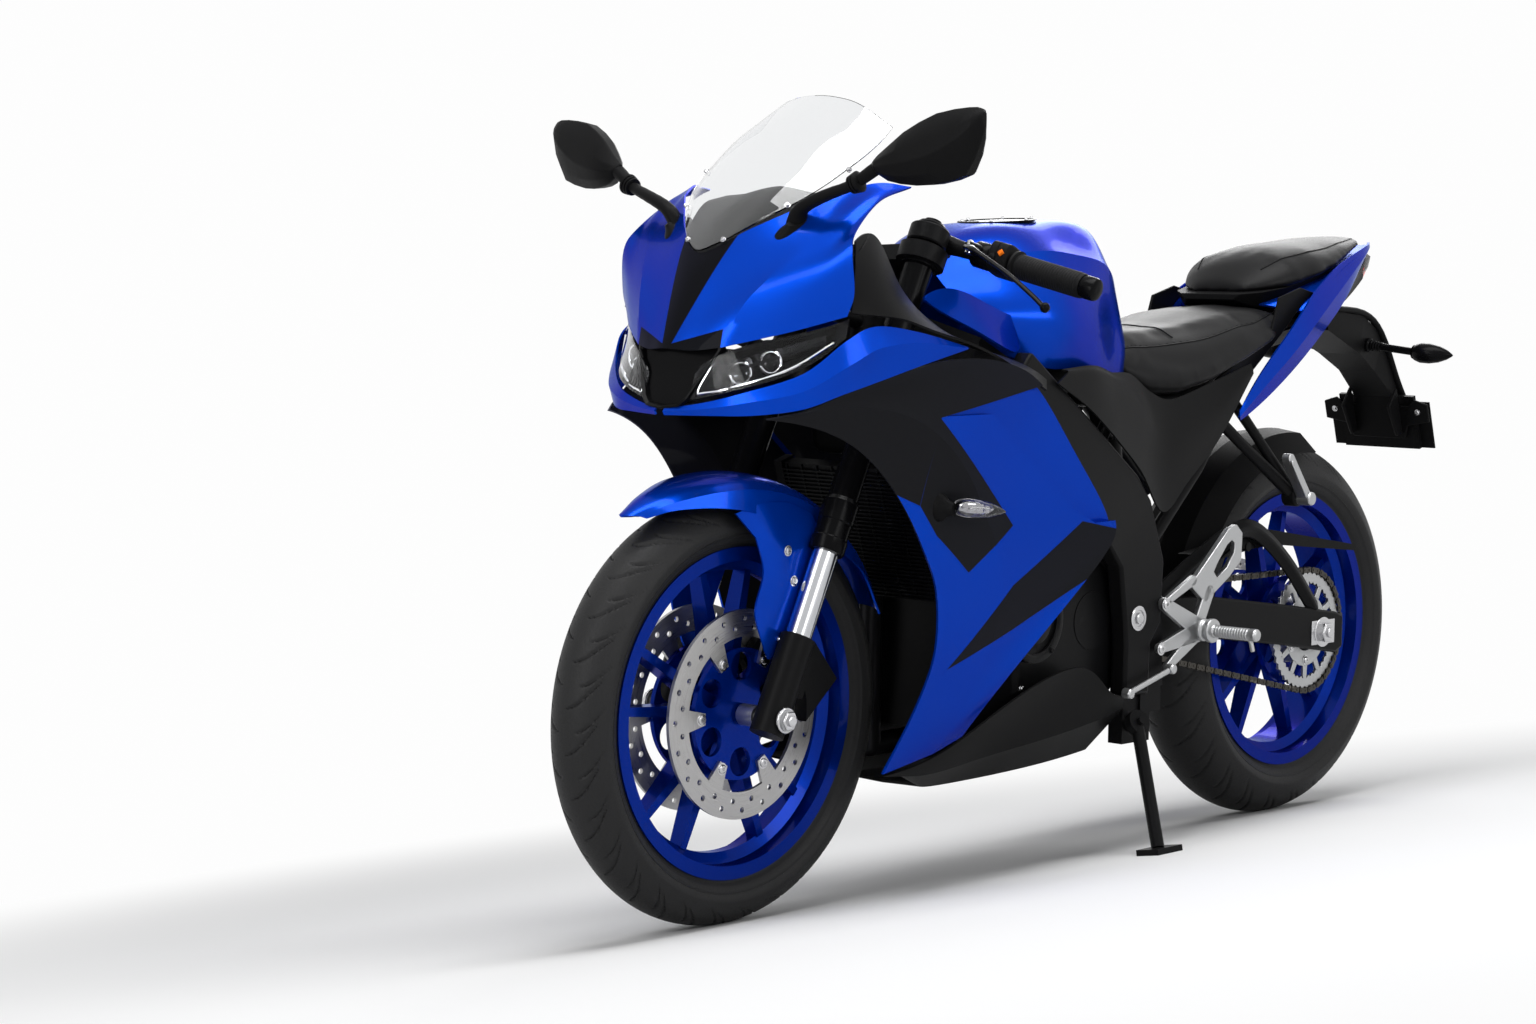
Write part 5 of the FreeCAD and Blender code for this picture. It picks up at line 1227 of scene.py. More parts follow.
radiator_parts = [radiator_block((3, -124, 4), (24, 124, 201))]
for low_y, high_y in ((124, 139), (-139, -124)):
    radiator_parts.append(radiator_block((1, low_y, 0), (29, high_y, 205)))
for k in range(32):
    radiator_parts.append(radiator_block((24, -124, 5 + 6 * k), (28.5, 124, 7.4 + 6 * k)))
for k in range(9):
    radiator_parts.append(radiator_block((23.5, -120 + 29 * k, 4), (26.5, -117 + 29 * k, 200)))
fins = piece("radiator_fins", joined(*radiator_parts), engine_black, "chassis", limit=30)
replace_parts(fins, "radiator")

# %% Airbox between the frame spars
airbox_rings = []
for z, front_x, rear_x, half_wide in ((636, 350, 250, 112), (650, 356, 244, 120), (700, 356, 236, 122),
                                      (750, 344, 232, 112), (776, 326, 236, 96), (784, 312, 244, 86)):
    half_outline = [(front_x, half_wide * 0.86), (front_x - 12, half_wide), (rear_x, half_wide)]
    outline = half_outline + [(x, -y) for x, y in reversed(half_outline)]
    airbox_rings.append([Vector((x, y, z)) for x, y in outline])
piece("airbox", skin(airbox_rings), black_plastic, "chassis", bevel=3, limit=30)

# %% [markdown]
# ## Front mudguard
#
# The guard is a blade over the tyre that turns down into a cheek beside each fork leg. A folded
# V runs from the cheek's top towards the front, and three steel screws, the lowest a small one,
# hold the cheek to the leg.

# %% Mudguard
def over_tyre(degrees, radius, y):
    """A place above the front tyre at an angle up from straight ahead."""
    return FRONT_AXLE + spoke(math.radians(degrees)) * radius + LEFT * y


guard_half = [[over_tyre(55.5, 338, 0), over_tyre(56.5, 334, 11), over_tyre(58, 327, 18),
               over_tyre(59, 320, 22)]]
for degrees, *points in ((66, (336, 0), (331, 22), (322, 38), (312, 43)),
                         (78, (333, 0), (327, 38), (314, 60), (292, 67)),
                         (92, (330, 0), (324, 42), (308, 68), (272, 73)),
                         (108, (326, 0), (320, 42), (304, 68), (248, 73)),
                         (124, (322, 0), (316, 40), (300, 66), (268, 73)),
                         (140, (319, 0), (313, 38), (298, 62), (288, 66)),
                         (156, (318, 0), (312, 36), (298, 57), (294, 60))):
    guard_half.append([over_tyre(degrees, radius, y) for radius, y in points])
blade_form = shell(net(full_width(guard_half), 6, creases=(1, 5)), THICK_PANEL, (662, 0, 296))
cheek_rows = [
    [(704, 68, 574), (655, 71, 586), (602, 71, 584), (556, 70, 568)],
    [(672, 76, 540), (640, 83, 530), (602, 84, 520), (548, 80, 545)],
    [(660, 80, 494), (632, 84, 484), (598, 84, 476), (565, 81, 491)],
    [(675, 81, 450), (642, 83, 440), (612, 83, 430), (584, 82, 450)],
    [(673, 80, 426), (648, 82, 410), (628, 82, 400), (608, 81, 398)],
    [(655, 80, 384), (651, 80, 378), (647, 80, 373), (640, 80, 376)]]
cheek_form = shell(net(cheek_rows, 5, folds=(1,)), THICK_PANEL, (620, 0, 480))
guard_screws = on_both_sides([((x, 84, z), LEFT, radius)
                              for x, z, radius in ((617, 520, 5.5), (604, 478, 5.5), (632, 400, 3.2))])
hardware("mudguard_screws", guard_screws, "steering")
guard = piece("mudguard_blade", joined(blade_form, pair(cheek_form)), blue_paint, "steering",
              limit=16)
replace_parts(guard, "front_mudguard")

# %% [markdown]
# ## Lamps
#
# In front of each lamp's pleated sheets sit two faceted reflectors with a bulb each, and a
# bright strip follows the lamp's inner and lower edge. A reflector is a bowl turned about the
# direction it shines in, with flat flutes, which is what makes the sharp sparkle.

# %% Headlights
def bowl(centre, way, radius, depth, sides):
    """An open faceted bowl with a wall, its mouth facing along the way."""
    outer = [(-depth, radius * 0.25), (-depth * 0.8, radius * 0.6), (-depth * 0.4, radius * 0.88),
             (0, radius)]
    inner = [(0, radius - 1.2), (-depth * 0.4, radius * 0.84), (-depth * 0.75, radius * 0.55),
             (-depth + 1.5, radius * 0.2)]
    return turned(outer + inner, centre, way, sides)


LAMP_RADIUS = 15
lamp_way = Vector((0.9, 0.33, 0.05))
bowls, bulbs, rims = [], [], []
for spot in ((728, 96, 764), (704, 128, 779)):
    bowls.append(bowl(spot, lamp_way, LAMP_RADIUS, 14, 14))
    bulbs.append(turned([(-12, 3), (-8, 4), (-3, 4.5), (1, 3), (3, 1)], spot, lamp_way, 16))
    rims.append(turned([(-1, LAMP_RADIUS), (1, LAMP_RADIUS + 1.6), (2, LAMP_RADIUS + 0.6),
                        (1, LAMP_RADIUS - 0.6)], spot, lamp_way, 28, loop=True))
inner_line = smooth_line([(752, 66, 772), (762, 54, 745), (764, 52, 735)], 4)
low_line = smooth_line([(764, 52, 735), (745, 96, 744), (700, 156, 770), (655, 196, 806)], 6)
strip = joined(tube(inner_line, 1.6, 8), tube(low_line, 2.2, 8))
for tag, placed in SIDES:
    for part, form, finish, slot, limit in (
            ("pleats", reflectors, dark_chrome, "chrome_tube", 8),
            ("bowls", joined(*bowls, *rims), mirror_silver, "chrome_tube", 8),
            ("bulbs", joined(*bulbs), lamp_clear, "lamp_clear", 35),
            ("shelf", shelf, gloss_black, "black_plastic", 35),
            ("strip", strip, mirror_silver, "chrome_tube", 35)):
        piece(f"headlight_{part}_{tag}", placed(form), finish, "chassis", limit=limit)

# %% Front and rear signals
def signal(root, tip, radius, rise, sides=24):
    """A bullet-shaped lens from its root to its pointed tip, flattened by the rise."""
    root, tip = Vector(root), Vector(tip)
    length = (tip - root).length
    profile = [(length * way, radius * wide) for way, wide in (
        (0, 0.55), (0.06, 0.8), (0.2, 1), (0.42, 1), (0.65, 0.82), (0.85, 0.48), (0.97, 0.15))]
    points, faces = turned(profile + [(length, 0.5)], root, tip - root, sides)
    return [Vector((p.x, p.y, root.z + (p.z - root.z) * rise)) for p in points], faces


front_lens = signal((458, 246, 583), (394, 284, 573), 17, 0.78)
front_bowl = signal((457, 250, 583), (412, 273, 577), 12, 0.75, 9)
front_foot = skin([[Vector((468 - out * 0.2 + 13 * size * math.cos(turn), 218 + out,
                            583 + 21 * size * math.sin(turn) - 0.12 * out)) for turn in full_turn(24)]
                   for out, size in ((0, 1.0), (8, 1.0), (14, 0.85), (20, 0.55), (30, 0.42))])
rear_lens = signal((-902, 132, 776), (-914, 202, 772), 18, 0.95)
stalk_profile = [(0, 12), (6, 12), (8, 9), (11, 9.5), (13, 8), (16, 9), (18, 7.5), (21, 8.5), (23, 7),
                 (26, 8), (28, 6.5), (31, 7.5), (33, 6.5), (90, 6.5), (94, 12)]
rear_stalk = turned(stalk_profile, (-904, 40, 786), (0.02, 0.99, -0.1), 20)
for tag, placed in SIDES:
    clear_part = piece(f"front_signal_lens_{tag}", placed(front_lens), smoke_lens, "chassis",
                       limit=60)
    piece(f"front_signal_bowl_{tag}", placed(front_bowl), mirror_silver, "chassis", limit=5)
    base = piece(f"front_signal_foot_{tag}", placed(front_foot), black_plastic, "chassis")
    bullet = piece(f"rear_signal_shell_{tag}", placed(joined(rear_lens, rear_stalk)), gloss_black,
                   "chassis", limit=50)
    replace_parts(clear_part, "front_signals")
    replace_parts(base, "front_signals")
    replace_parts(bullet, "rear_signals")

# %% [markdown]
# ## Mirrors
#
# A mirror is a thin housing with a soft crease along its back, a glass set into its rear face,
# and an arm on an oval foot. A ribbed collar marks the joint where the arm folds.

# %% Mirrors
def housing_ring(y, x, low, crease, high, depth):
    """One outline of the housing at a distance out, with its ridge at the crease height."""
    return [Vector((x + depth, y, crease)), Vector((x + depth * 0.86, y, crease * 0.6 + high * 0.4)),
            Vector((x + depth * 0.42, y, crease * 0.2 + high * 0.8)), Vector((x + depth * 0.1, y, high)),
            Vector((x - depth * 0.62, y, high - 2)), Vector((x - depth * 0.7, y, high - 7)),
            Vector((x - depth * 0.7, y, low + 7)), Vector((x - depth * 0.62, y, low + 2)),
            Vector((x + depth * 0.25, y, low)), Vector((x + depth * 0.74, y, crease * 0.4 + low * 0.6))]


mirror_outlines = [(238, 628, 1034, 1040, 1048, 7), (246, 627, 1028, 1038, 1055, 15),
                   (262, 623, 1019, 1038, 1068, 22), (280, 618, 1015, 1040, 1083, 26),
                   (302, 612, 1013, 1044, 1096, 28), (326, 606, 1014, 1050, 1107, 28),
                   (352, 602, 1019, 1062, 1112, 26), (374, 600, 1026, 1076, 1114, 22),
                   (388, 600, 1048, 1088, 1114, 17), (396, 600, 1069, 1094, 1112, 11),
                   (401, 601, 1086, 1097, 1107, 5)]
housing = skin([housing_ring(*row) for row in mirror_outlines])
INSET = 5.0
glass_rings = []
for y, x, low, _, high, depth in mirror_outlines[1:-1]:
    back = x - depth * 0.7 - 0.4
    glass_rings.append([Vector((back, y, low + INSET)), Vector((back, y, high - INSET)),
                        Vector((back - 0.8, y, high - INSET)), Vector((back - 0.8, y, low + INSET))])
mirror_glass = skin(glass_rings)
arm_line = smooth_line([(640, 112, 962), (645, 122, 980), (645, 140, 991), (641, 172, 1003),
                        (634, 206, 1015), (627, 244, 1038)], 4)
arm_radii = [15, 14.5, 13.5, 13, 12.5, 12, 11.5, 11.5, 11, 11, 10.5, 10.5, 10, 10, 9.5, 9.5, 9.5, 10, 10.5,
             11, 11]
arm = tube(arm_line, arm_radii, 16, 0.8)
collar_way = Vector((-5, 34, 13))
collar = turned([(0, 9.5), (0.5, 12.5), (3, 13), (3.5, 11.5), (5, 11.5), (5.5, 13.6), (8, 14), (8.5, 12.5),
                 (10, 12.5), (10.5, 14.5), (14, 15), (16, 12)], (635, 204, 1014), collar_way, 24)
foot_up = Vector((0.5, 0.42, 0.75)).normalized()
foot_long = Vector((-67, 22, 18))
foot_long = (foot_long - foot_up * foot_long.dot(foot_up)).normalized()
foot_wide = foot_up.cross(foot_long)
foot_rings = []
for lift, reach in ((-14, 1.0), (1, 1.03), (5, 1.0), (9, 0.86), (14, 0.6), (19, 0.46)):
    foot_rings.append([Vector((636, 112, 953)) + foot_up * lift + foot_long * 36 * reach * math.cos(turn)
                       + foot_wide * 17 * reach * math.sin(turn) for turn in full_turn(28)])
foot = skin(foot_rings)
for tag, placed in SIDES:
    cup = piece(f"mirror_housing_{tag}", placed(housing), black_plastic, "chassis",
                bevel=1.5, limit=24)
    piece(f"mirror_glass_{tag}", placed(mirror_glass), mirror_silver, "chassis")
    mount = piece(f"mirror_arm_{tag}", placed(joined(arm, collar, foot)), black_plastic, "chassis")
    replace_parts(cup, "mirrors")
    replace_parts(mount, "mirrors")

# %% [markdown]
# ## Bars and controls
#
# The grips are ribbed rubber sleeves over the bars. A lever is a flat blade with a ball end
# that turns on a perch; the switch box beside it is split down its middle and carries a rocker
# and a small orange button.

# %% Grips
BAR_ROOT = Vector((-34, 98, 732))
BAR_WAY = Vector((-0.138, 0.972, -0.188)).normalized()


def on_bar(out, x=0.0, z=0.0):
    """A place beside the bar: out along it, forward and up in the fork's own directions."""
    local_point = BAR_ROOT + BAR_WAY * out + Vector((x, 0, z))
    return fork(*local_point)


bar_way = on_bar(1) - on_bar(0)
grip_profile = [(0, 12), (0.5, 21), (5, 21.5), (6, 17.2)]
for ridge in range(24):
    foot_of = 8 + ridge * 4.4
    grip_profile += [(foot_of, 17.2), (foot_of + 1, 18), (foot_of + 3, 18), (foot_of + 4, 17.2)]
grip_profile += [(116, 17.6), (119, 17), (119, 12)]
grip = turned(grip_profile, on_bar(132), bar_way, 32)
weight_profile = [(0, 12), (0, 15.8), (3, 16.4), (16, 16.4), (20, 15.2), (22, 12), (22, 3)]
weight = turned(weight_profile, on_bar(252), bar_way, 28)
for tag, placed in SIDES:
    piece(f"grip_{tag}", placed(grip), grip_rubber, "steering", limit=40)
    piece(f"bar_weight_{tag}", placed(weight), gloss_black, "steering", limit=40)

# %% Levers, perches and switches
blade_line = smooth_line([on_bar(70, 30, -2), fork(10, 196, 702), fork(5, 222, 690), fork(-2, 262, 670),
                          fork(-14, 300, 647), fork(-21, 322, 632)], 5)
blade = tube(blade_line, [8.5 - 3.2 * min(1, k / 8) for k in range(len(blade_line))], 14, 0.55)
ball_profile = [(-7, 1), (-6, 4), (-3, 6.6), (0, 7.4), (3, 6.6), (6, 4), (7, 1)]
ball = turned(ball_profile, fork(-22, 326, 630), bar_way, 20)
perch = turned([(0, 12), (0, 17), (3, 19), (27, 19), (30, 17), (30, 12)], on_bar(62), bar_way, 28)
knuckle = tube([on_bar(74, 8, 0), on_bar(74, 22, -1), on_bar(72, 34, -3)], [13, 12, 10], 16, 0.8)
pivot_screw = turned([(-10, 5), (8, 5), (9, 4), (10, 2)], on_bar(72, 31, -2), FORK_UP, 16)


def squared(share):
    """A cosine or sine drawn out so that a round outline becomes a soft box."""
    return math.copysign(abs(share) ** 0.6, share)


box_rings = []
for out, size in ((94, 0.86), (97, 1.0), (108, 1.0), (109, 0.93), (110, 1.0), (124, 1.0), (127, 0.86)):
    box_rings.append([on_bar(out, 21 * size * squared(math.cos(turn)) - 2,
                             24 * size * squared(math.sin(turn)) + 2) for turn in full_turn(32)])
switch_box = skin(box_rings)
button = turned([(0, 5.5), (3.2, 5.5), (4, 4.6)], on_bar(117, 18, 6), fork(1, 0, 0.2) - FRONT_AXLE, 4)
rocker = turned([(0, 6.5), (3, 6), (4, 4.5)], on_bar(104, 18, -4), FORK_AHEAD, 20)
signal_button = moulded("orange_button", (0.75, 0.16, 0.01, 1), 0.4)
for tag, placed in SIDES:
    held = piece(f"lever_{tag}", placed(joined(blade, ball, knuckle, perch)), gloss_black, "steering",
                 limit=40)
    switches = piece(f"switch_box_{tag}", placed(joined(switch_box, rocker)), black_plastic, "steering",
                     limit=40)
    piece(f"lever_screw_{tag}", placed(pivot_screw), bolt_steel, "steering")
    piece(f"button_{tag}", placed(button), signal_button, "steering", bevel=0.6)
    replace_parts(held, "controls")
    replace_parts(switches, "controls")


# %% Fork sleeves and bar clamps
SLEEVE_FOOT = 243
LEG_OUT = 100
sleeve_profile = [(243, 19), (243, 24), (246, 25.5), (262, 25.5), (264, 24), (286, 24), (288, 25.5),
                  (316, 25.5), (322, 21.5), (510, 21.5), (512, 26.5), (546, 26.5), (548, 21.5), (676, 21.5),
                  (678, 26.5), (708, 26.5), (710, 21.5), (742, 21.5), (745, 19), (745, 13), (750, 12),
                  (750, 2)]
sleeves = [turned([(z - SLEEVE_FOOT, radius) for z, radius in sleeve_profile],
                  fork(0, side * LEG_OUT, SLEEVE_FOOT), FORK_UP, 32) for side in (1, -1)]
ring_profile = [(0, 21.5), (0, 27.5), (2, 29), (24, 29), (26, 27.5), (26, 21.5)]
ring = turned(ring_profile, fork(0, LEG_OUT, 712), FORK_UP, 32)
arm_bar = tube([on_bar(-6), on_bar(10), on_bar(30), on_bar(60), on_bar(252)], [15, 14, 12, 11, 11], 20)
lug_corners = ((-16, -13), (8, -13), (8, 13), (-16, 13))
lug = skin([[fork(x * size - 26, LEG_OUT + y * size, z) for x, y in lug_corners]
            for z, size in ((711, 0.9), (714, 1.0), (736, 1.0), (739, 0.9))])
sleeve_piece = piece("fork_sleeves", joined(*sleeves), gloss_black, "steering", limit=30)
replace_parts(sleeve_piece, "fork_uppers")
bars_piece = piece("clip_on_bars", pair(joined(ring, arm_bar, lug)), frame_black, "steering",
                   limit=35)
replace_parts(bars_piece, "handlebars")
clamp_screws = on_both_sides([(fork(-34, 118, 725), LEFT, 4.5), (fork(24, 104, 524), FORK_AHEAD, 4.5),
                              (fork(24, 104, 690), FORK_AHEAD, 4.5)])
hardware("fork_clamp_screws", clamp_screws, "steering")

# %% [markdown]
# ## Frame, swingarm and footrests
#
# The frame's two pressed spars run down from under the tank to the swingarm's pivot, wide and
# flat, with a soft edge. The swingarm is a deep box beam with a bent brace over it. The footrest
# brackets are polished castings: a few tapered arms, a heel guard with a slot, a knurled peg.

# %% Frame spars
def flat_band(pairs, depth):
    """A thick band between two edges, given as pairs of (x, y, z) on its outer face."""
    rings = []
    for high, low in pairs:
        inner_low = Vector(low) - Vector((0, depth, 0))
        inner_high = Vector(high) - Vector((0, depth, 0))
        rings.append([Vector(high), Vector(low), inner_low, inner_high])
    return skin(rings)


spar_edges = [((224, 192, 790), (272, 192, 736)), ((84, 182, 700), (170, 188, 640)),
              ((-76, 165, 600), (50, 176, 545)), ((-120, 158, 560), (-12, 166, 490)),
              ((-164, 153, 466), (-46, 158, 462)), ((-160, 153, 372), (-66, 153, 378)),
              ((-134, 153, 340), (-70, 153, 340)), ((-132, 153, 262), (-68, 153, 264))]
spars = pair(flat_band(spar_edges, 30))
piece("frame_spars", spars, frame_black, "chassis", bevel=5, limit=25)
pivot_profile = [(-2, 19), (2, 19), (3, 17), (3, 13), (1, 12), (1, 9), (5, 8.5), (6, 7), (6, 1)]
pivot_bolts = [turned(pivot_profile, Vector((-98, 0, 381)) + out * 153, out, 32) for out in (LEFT, RIGHT)]
piece("pivot_bolts", joined(*pivot_bolts), bolt_steel, "chassis", limit=25)
gear_cover = [(60, 470), (-40, 484), (-96, 440), (-108, 280), (-60, 244), (60, 238), (150, 280), (150, 440)]


def gear_outline(y, size):
    """The cover's outline drawn in towards its middle, at a distance out."""
    middle = Vector((20, y, 380))
    return [middle + (Vector((x, y, z)) - middle) * size for x, z in gear_cover]


cover_rings = [gear_outline(y, size) for y, size in ((40, 1.0), (106, 1.0), (116, 0.94), (118, 0.84))]
piece("gearbox_cover", skin(cover_rings), engine_black, "chassis", bevel=2, limit=25)
cover_screws = [(spot, LEFT, 5) for spot in gear_outline(116, 0.9)]
hardware("gearbox_screws", cover_screws, "chassis")
stays = [turned([(0, 6), (26, 6)], (x, side * y, z), (0, side, 0), 16)
         for x, y, z in ((300, 150, 700), (230, 160, 640), (-60, 130, 600)) for side in (1, -1)]
stay_piece = piece("hidden_stays", joined(*stays), black_plastic, "chassis")
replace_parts(stay_piece, "panel_stays")

# %% Swingarm
def box_beam(stations, y_out, y_in):
    """A beam from stations of (x, top, bottom) between two side faces."""
    return skin([[Vector((x, y, z)) for y, z in ((y_out, top), (y_out, low), (y_in, low), (y_in, top))]
                 for x, top, low in stations])


BEAM_OUT, BEAM_IN = 120, 97
beam_stations = [(-84, 408, 352), (-200, 402, 334), (-348, 394, 327), (-560, 366, 299), (-704, 345, 276),
                 (-726, 338, 284)]
brace_line = [(-190, 112, 398), (-300, 112, 452), (-400, 112, 492), (-470, 112, 492), (-560, 112, 436),
              (-648, 112, 352)]
brace = tube(smooth_line(brace_line, 6), 17, 4, 0.62, (0, 1, 0))
cross_member = [(-120, 344), (-190, 340), (-190, 396), (-120, 400)]
arm_cross = skin(upright_rings([(cross_member, -112), (cross_member, 112)]))
beams = pair(box_beam(beam_stations, BEAM_OUT, BEAM_IN))
swing_piece = piece("swingarm_beams", joined(beams, pair(brace), arm_cross), frame_black, "chassis",
                    bevel=4, limit=40)
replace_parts(swing_piece, "swingarm")
nut_rows = []
for out in (LEFT, RIGHT):
    centre = REAR_AXLE + out * BEAM_OUT
    nut_rows.append(turned([(0, 25), (2.5, 25), (3, 24), (3, 10)], centre, out, 40))
    nut_rows.append(turned([(2, 17.5), (12, 17.5), (14, 15.5), (14, 9)], centre, out, 6))
    nut_rows.append(turned([(2, 8.5), (17, 8.5), (18.5, 7), (18.5, 1)], centre, out, 24))
    stopper = [centre + Vector((x, 0, z)) for x, z in ((-34, -20), (34, -20), (34, 20), (-34, 20))]
    nut_rows.append(slab(stopper, out * 2))
piece("rear_axle_nuts", joined(*nut_rows), bolt_steel, "chassis", bevel=0.6, limit=25)

# %% Rear sprocket
SPROCKET_IN, SPROCKET_OUT = 83.5, 88.5
TEETH = 44


def round_web(turn, inner, outer, wide_in, wide_out):
    """A short arm of the sprocket between two radii about the rear axle."""
    way, side = spoke(turn), spoke(turn + math.pi / 2)
    corners = [REAR_AXLE + LEFT * SPROCKET_IN + way * reach + side * wide for reach, wide in
               ((inner, -wide_in), (outer, -wide_out), (outer, wide_out), (inner, wide_in))]
    return slab(corners, (0, SPROCKET_OUT - SPROCKET_IN, 0))


def round_band(low, high, inner, outer):
    """A flat ring about the rear axle, between two distances out and two radii."""
    return turned([(low, inner), (low, outer), (high, outer), (high, inner)], REAR_AXLE, LEFT, 64, loop=True)


tooth_ring = [spoke(turn) * (99 if k % 2 else 94) for k, turn in enumerate(full_turn(2 * TEETH))]
teeth = [[REAR_AXLE + point * size + LEFT * y for point in tooth_ring]
         for y, size in ((SPROCKET_IN, 0.82), (SPROCKET_IN, 1.0), (SPROCKET_OUT, 1.0), (SPROCKET_OUT, 0.82))]
sprocket_form = [skin(teeth + [teeth[0]], caps=False), round_band(SPROCKET_IN, SPROCKET_OUT, 34, 60),
                 round_band(50, SPROCKET_IN, 34, 56)]
for turn in full_turn(12):
    sprocket_form.append(round_web(turn, 58, 80, 6, 5))
sprocket_piece = piece("sprocket_plate", joined(*sprocket_form), silver_cast, "rear_wheel",
                       bevel=0.6, limit=30)
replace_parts(sprocket_piece, "rear_sprocket")

# %% Footrests
PLATE_IN, PLATE_OUT = 153, 162


def tapered(start, end, wide_start, wide_end, y0=PLATE_IN, y1=PLATE_OUT):
    """A flat arm between two (x, z) places, round at both ends."""
    way = Vector((end[0] - start[0], 0, end[1] - start[1])).normalized()
    side = Vector((-way.z, 0, way.x))
    outline = []
    for centre, wide, first in ((start, wide_start, 90), (end, wide_end, -90)):
        for k in range(7):
            turn = math.radians(first + 30 * k)
            offset = (way * math.cos(turn) + side * math.sin(turn)) * wide / 2
            outline.append(Vector((centre[0], y0, centre[1])) + offset)
    return slab(outline, (0, y1 - y0, 0))


guard_out = [(-222, 424), (-269, 462), (-322, 506), (-344, 512), (-360, 498), (-358, 455), (-326, 430),
             (-262, 394)]
guard_in = [(-284, 441), (-292, 453), (-318, 481), (-331, 488), (-340, 483), (-338, 468), (-320, 446),
            (-294, 431)]
guard_rings = upright_rings([(guard_out, PLATE_IN), (guard_out, PLATE_OUT), (guard_in, PLATE_OUT),
                             (guard_in, PLATE_IN)])
peg_root = [(149, 18), (166, 18), (168, 15), (172, 15), (174, 19), (182, 19), (184, 13)]
bracket = [skin(guard_rings + [guard_rings[0]], caps=False),
           tapered((-158, 399), (-254, 352), 20, 34), tapered((-168, 404), (-232, 431), 11, 15),
           tapered((-250, 366), (-274, 410), 24, 24), tapered((-148, 331), (-246, 350), 15, 34),
           tapered((-246, 348), (-169, 301), 26, 13), turned(peg_root, (-258, 0, 352), LEFT, 32),
           tube([(-256, 248, 348), (-257, 252, 340), (-259, 254, 326)], [4, 3.4, 3.6], 12)]
knurl = [(182, 11)]
for k in range(13):
    knurl += [(186 + 5 * k, 10.5), (188.5 + 5 * k, 8.2)]
bracket.append(turned(knurl + [(252, 10), (262, 10), (265, 7), (265, 1)], (-257, 0, 352), LEFT, 20))
rod = [tube([(-168, 166, 298), (-57, 168, 271)], 4.6, 14),
       turned([(158, 1), (158, 8), (172, 8), (174, 6), (174, 1)], (-168, 0, 299), LEFT, 24),
       turned([(160, 1), (160, 8), (174, 8), (176, 6), (176, 1)], (-57, 0, 271), LEFT, 24)]
rearset_form = joined(*bracket, *rod)
for tag, placed in SIDES:
    made = piece(f"footrest_{tag}", placed(rearset_form), silver_cast, "chassis", bevel=1.6,
                 limit=35)
    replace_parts(made, f"rearset_{tag}")
footrest_bolts = on_both_sides([((-158, PLATE_OUT, 399), LEFT, 7.5), ((-148, PLATE_OUT, 331), LEFT, 7.5)])
hardware("footrest_bolts", footrest_bolts, "chassis")

# %% Pillion footrests
hanger = [tube([(-300, 118, 704), (-400, 132, 632), (-517, 150, 550)], [10, 9, 11], 14),
          tube([(-372, 118, 716), (-440, 134, 640), (-517, 150, 550)], [9, 8, 11], 14),
          turned([(138, 16), (160, 16), (163, 13), (163, 1)], (-517, 0, 548), LEFT, 28)]
hangers = piece("pillion_hangers", pair(joined(*hanger)), frame_black, "chassis", bevel=1,
                limit=40)
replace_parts(hangers, "pillion_pegs")
folded_peg = [tapered((-519, 548), (-470, 612), 20, 16, 163, 178),
              tapered((-514, 545), (-466, 606), 8, 8, 176, 184),
              turned([(160, 11), (186, 11), (188, 9), (188, 1)], (-518, 0, 546), LEFT, 28)]
piece("pillion_footrests", pair(joined(*folded_peg)), silver_cast, "chassis", bevel=2.5,
      limit=35)

# %% [markdown]
# ## Small parts around the machine
#
# What is left are the small parts that break up large dark areas: the rim of the engine's round
# cover, the ribs and the cross plate of the number plate's carrier, its little lamp, the front
# axle's nuts, the screws beside the tank, the tail's inner panels and the tray under its pad.

# %% Engine cover rim
RIM_SCREW_RING = 55.5
rim_profile = [(-3, 61), (1.5, 61), (2.5, 58.5), (2.5, 53), (1, 50.5), (-1, 49), (-3, 48)]
boss_profile = [(-3, 33), (1.5, 33), (2.2, 31), (2.2, 2)]
cover_centre = Vector((146, 149, 394))
rims = [turned(rim_profile, cover_centre, LEFT, 64), turned(boss_profile, cover_centre, LEFT, 48)]
for k in range(5):
    offset = spoke(math.radians(72 * k + 18)) * RIM_SCREW_RING
    rims.append(screw(cover_centre + LEFT * 2.5 + offset, LEFT, 4.2))
piece("engine_cover_rim", joined(*rims), engine_black, "chassis", limit=25)

# %% Number plate carrier
carrier_line = [(-776, 46, 846), (-884, 42, 838), (-950, 38, 803), (-1002, 40, 722), (-1020, 44, 690)]
ribs = []
for inset in (0, 22):
    line = [(x, y - inset, z + 3) for x, y, z in carrier_line]
    ribs.append(tube(smooth_line(line, 4), [7] * 17, 8, 0.8))
TILT = math.radians(17)
PLATE_FOOT = Vector((-1036, 0, 606))


def on_plate(y, up, back):
    """A place on the tilted plate's face: y across, up the plate, back behind it."""
    return PLATE_FOOT + Vector((up * math.sin(TILT) - back * math.cos(TILT), y,
                                up * math.cos(TILT) + back * math.sin(TILT)))


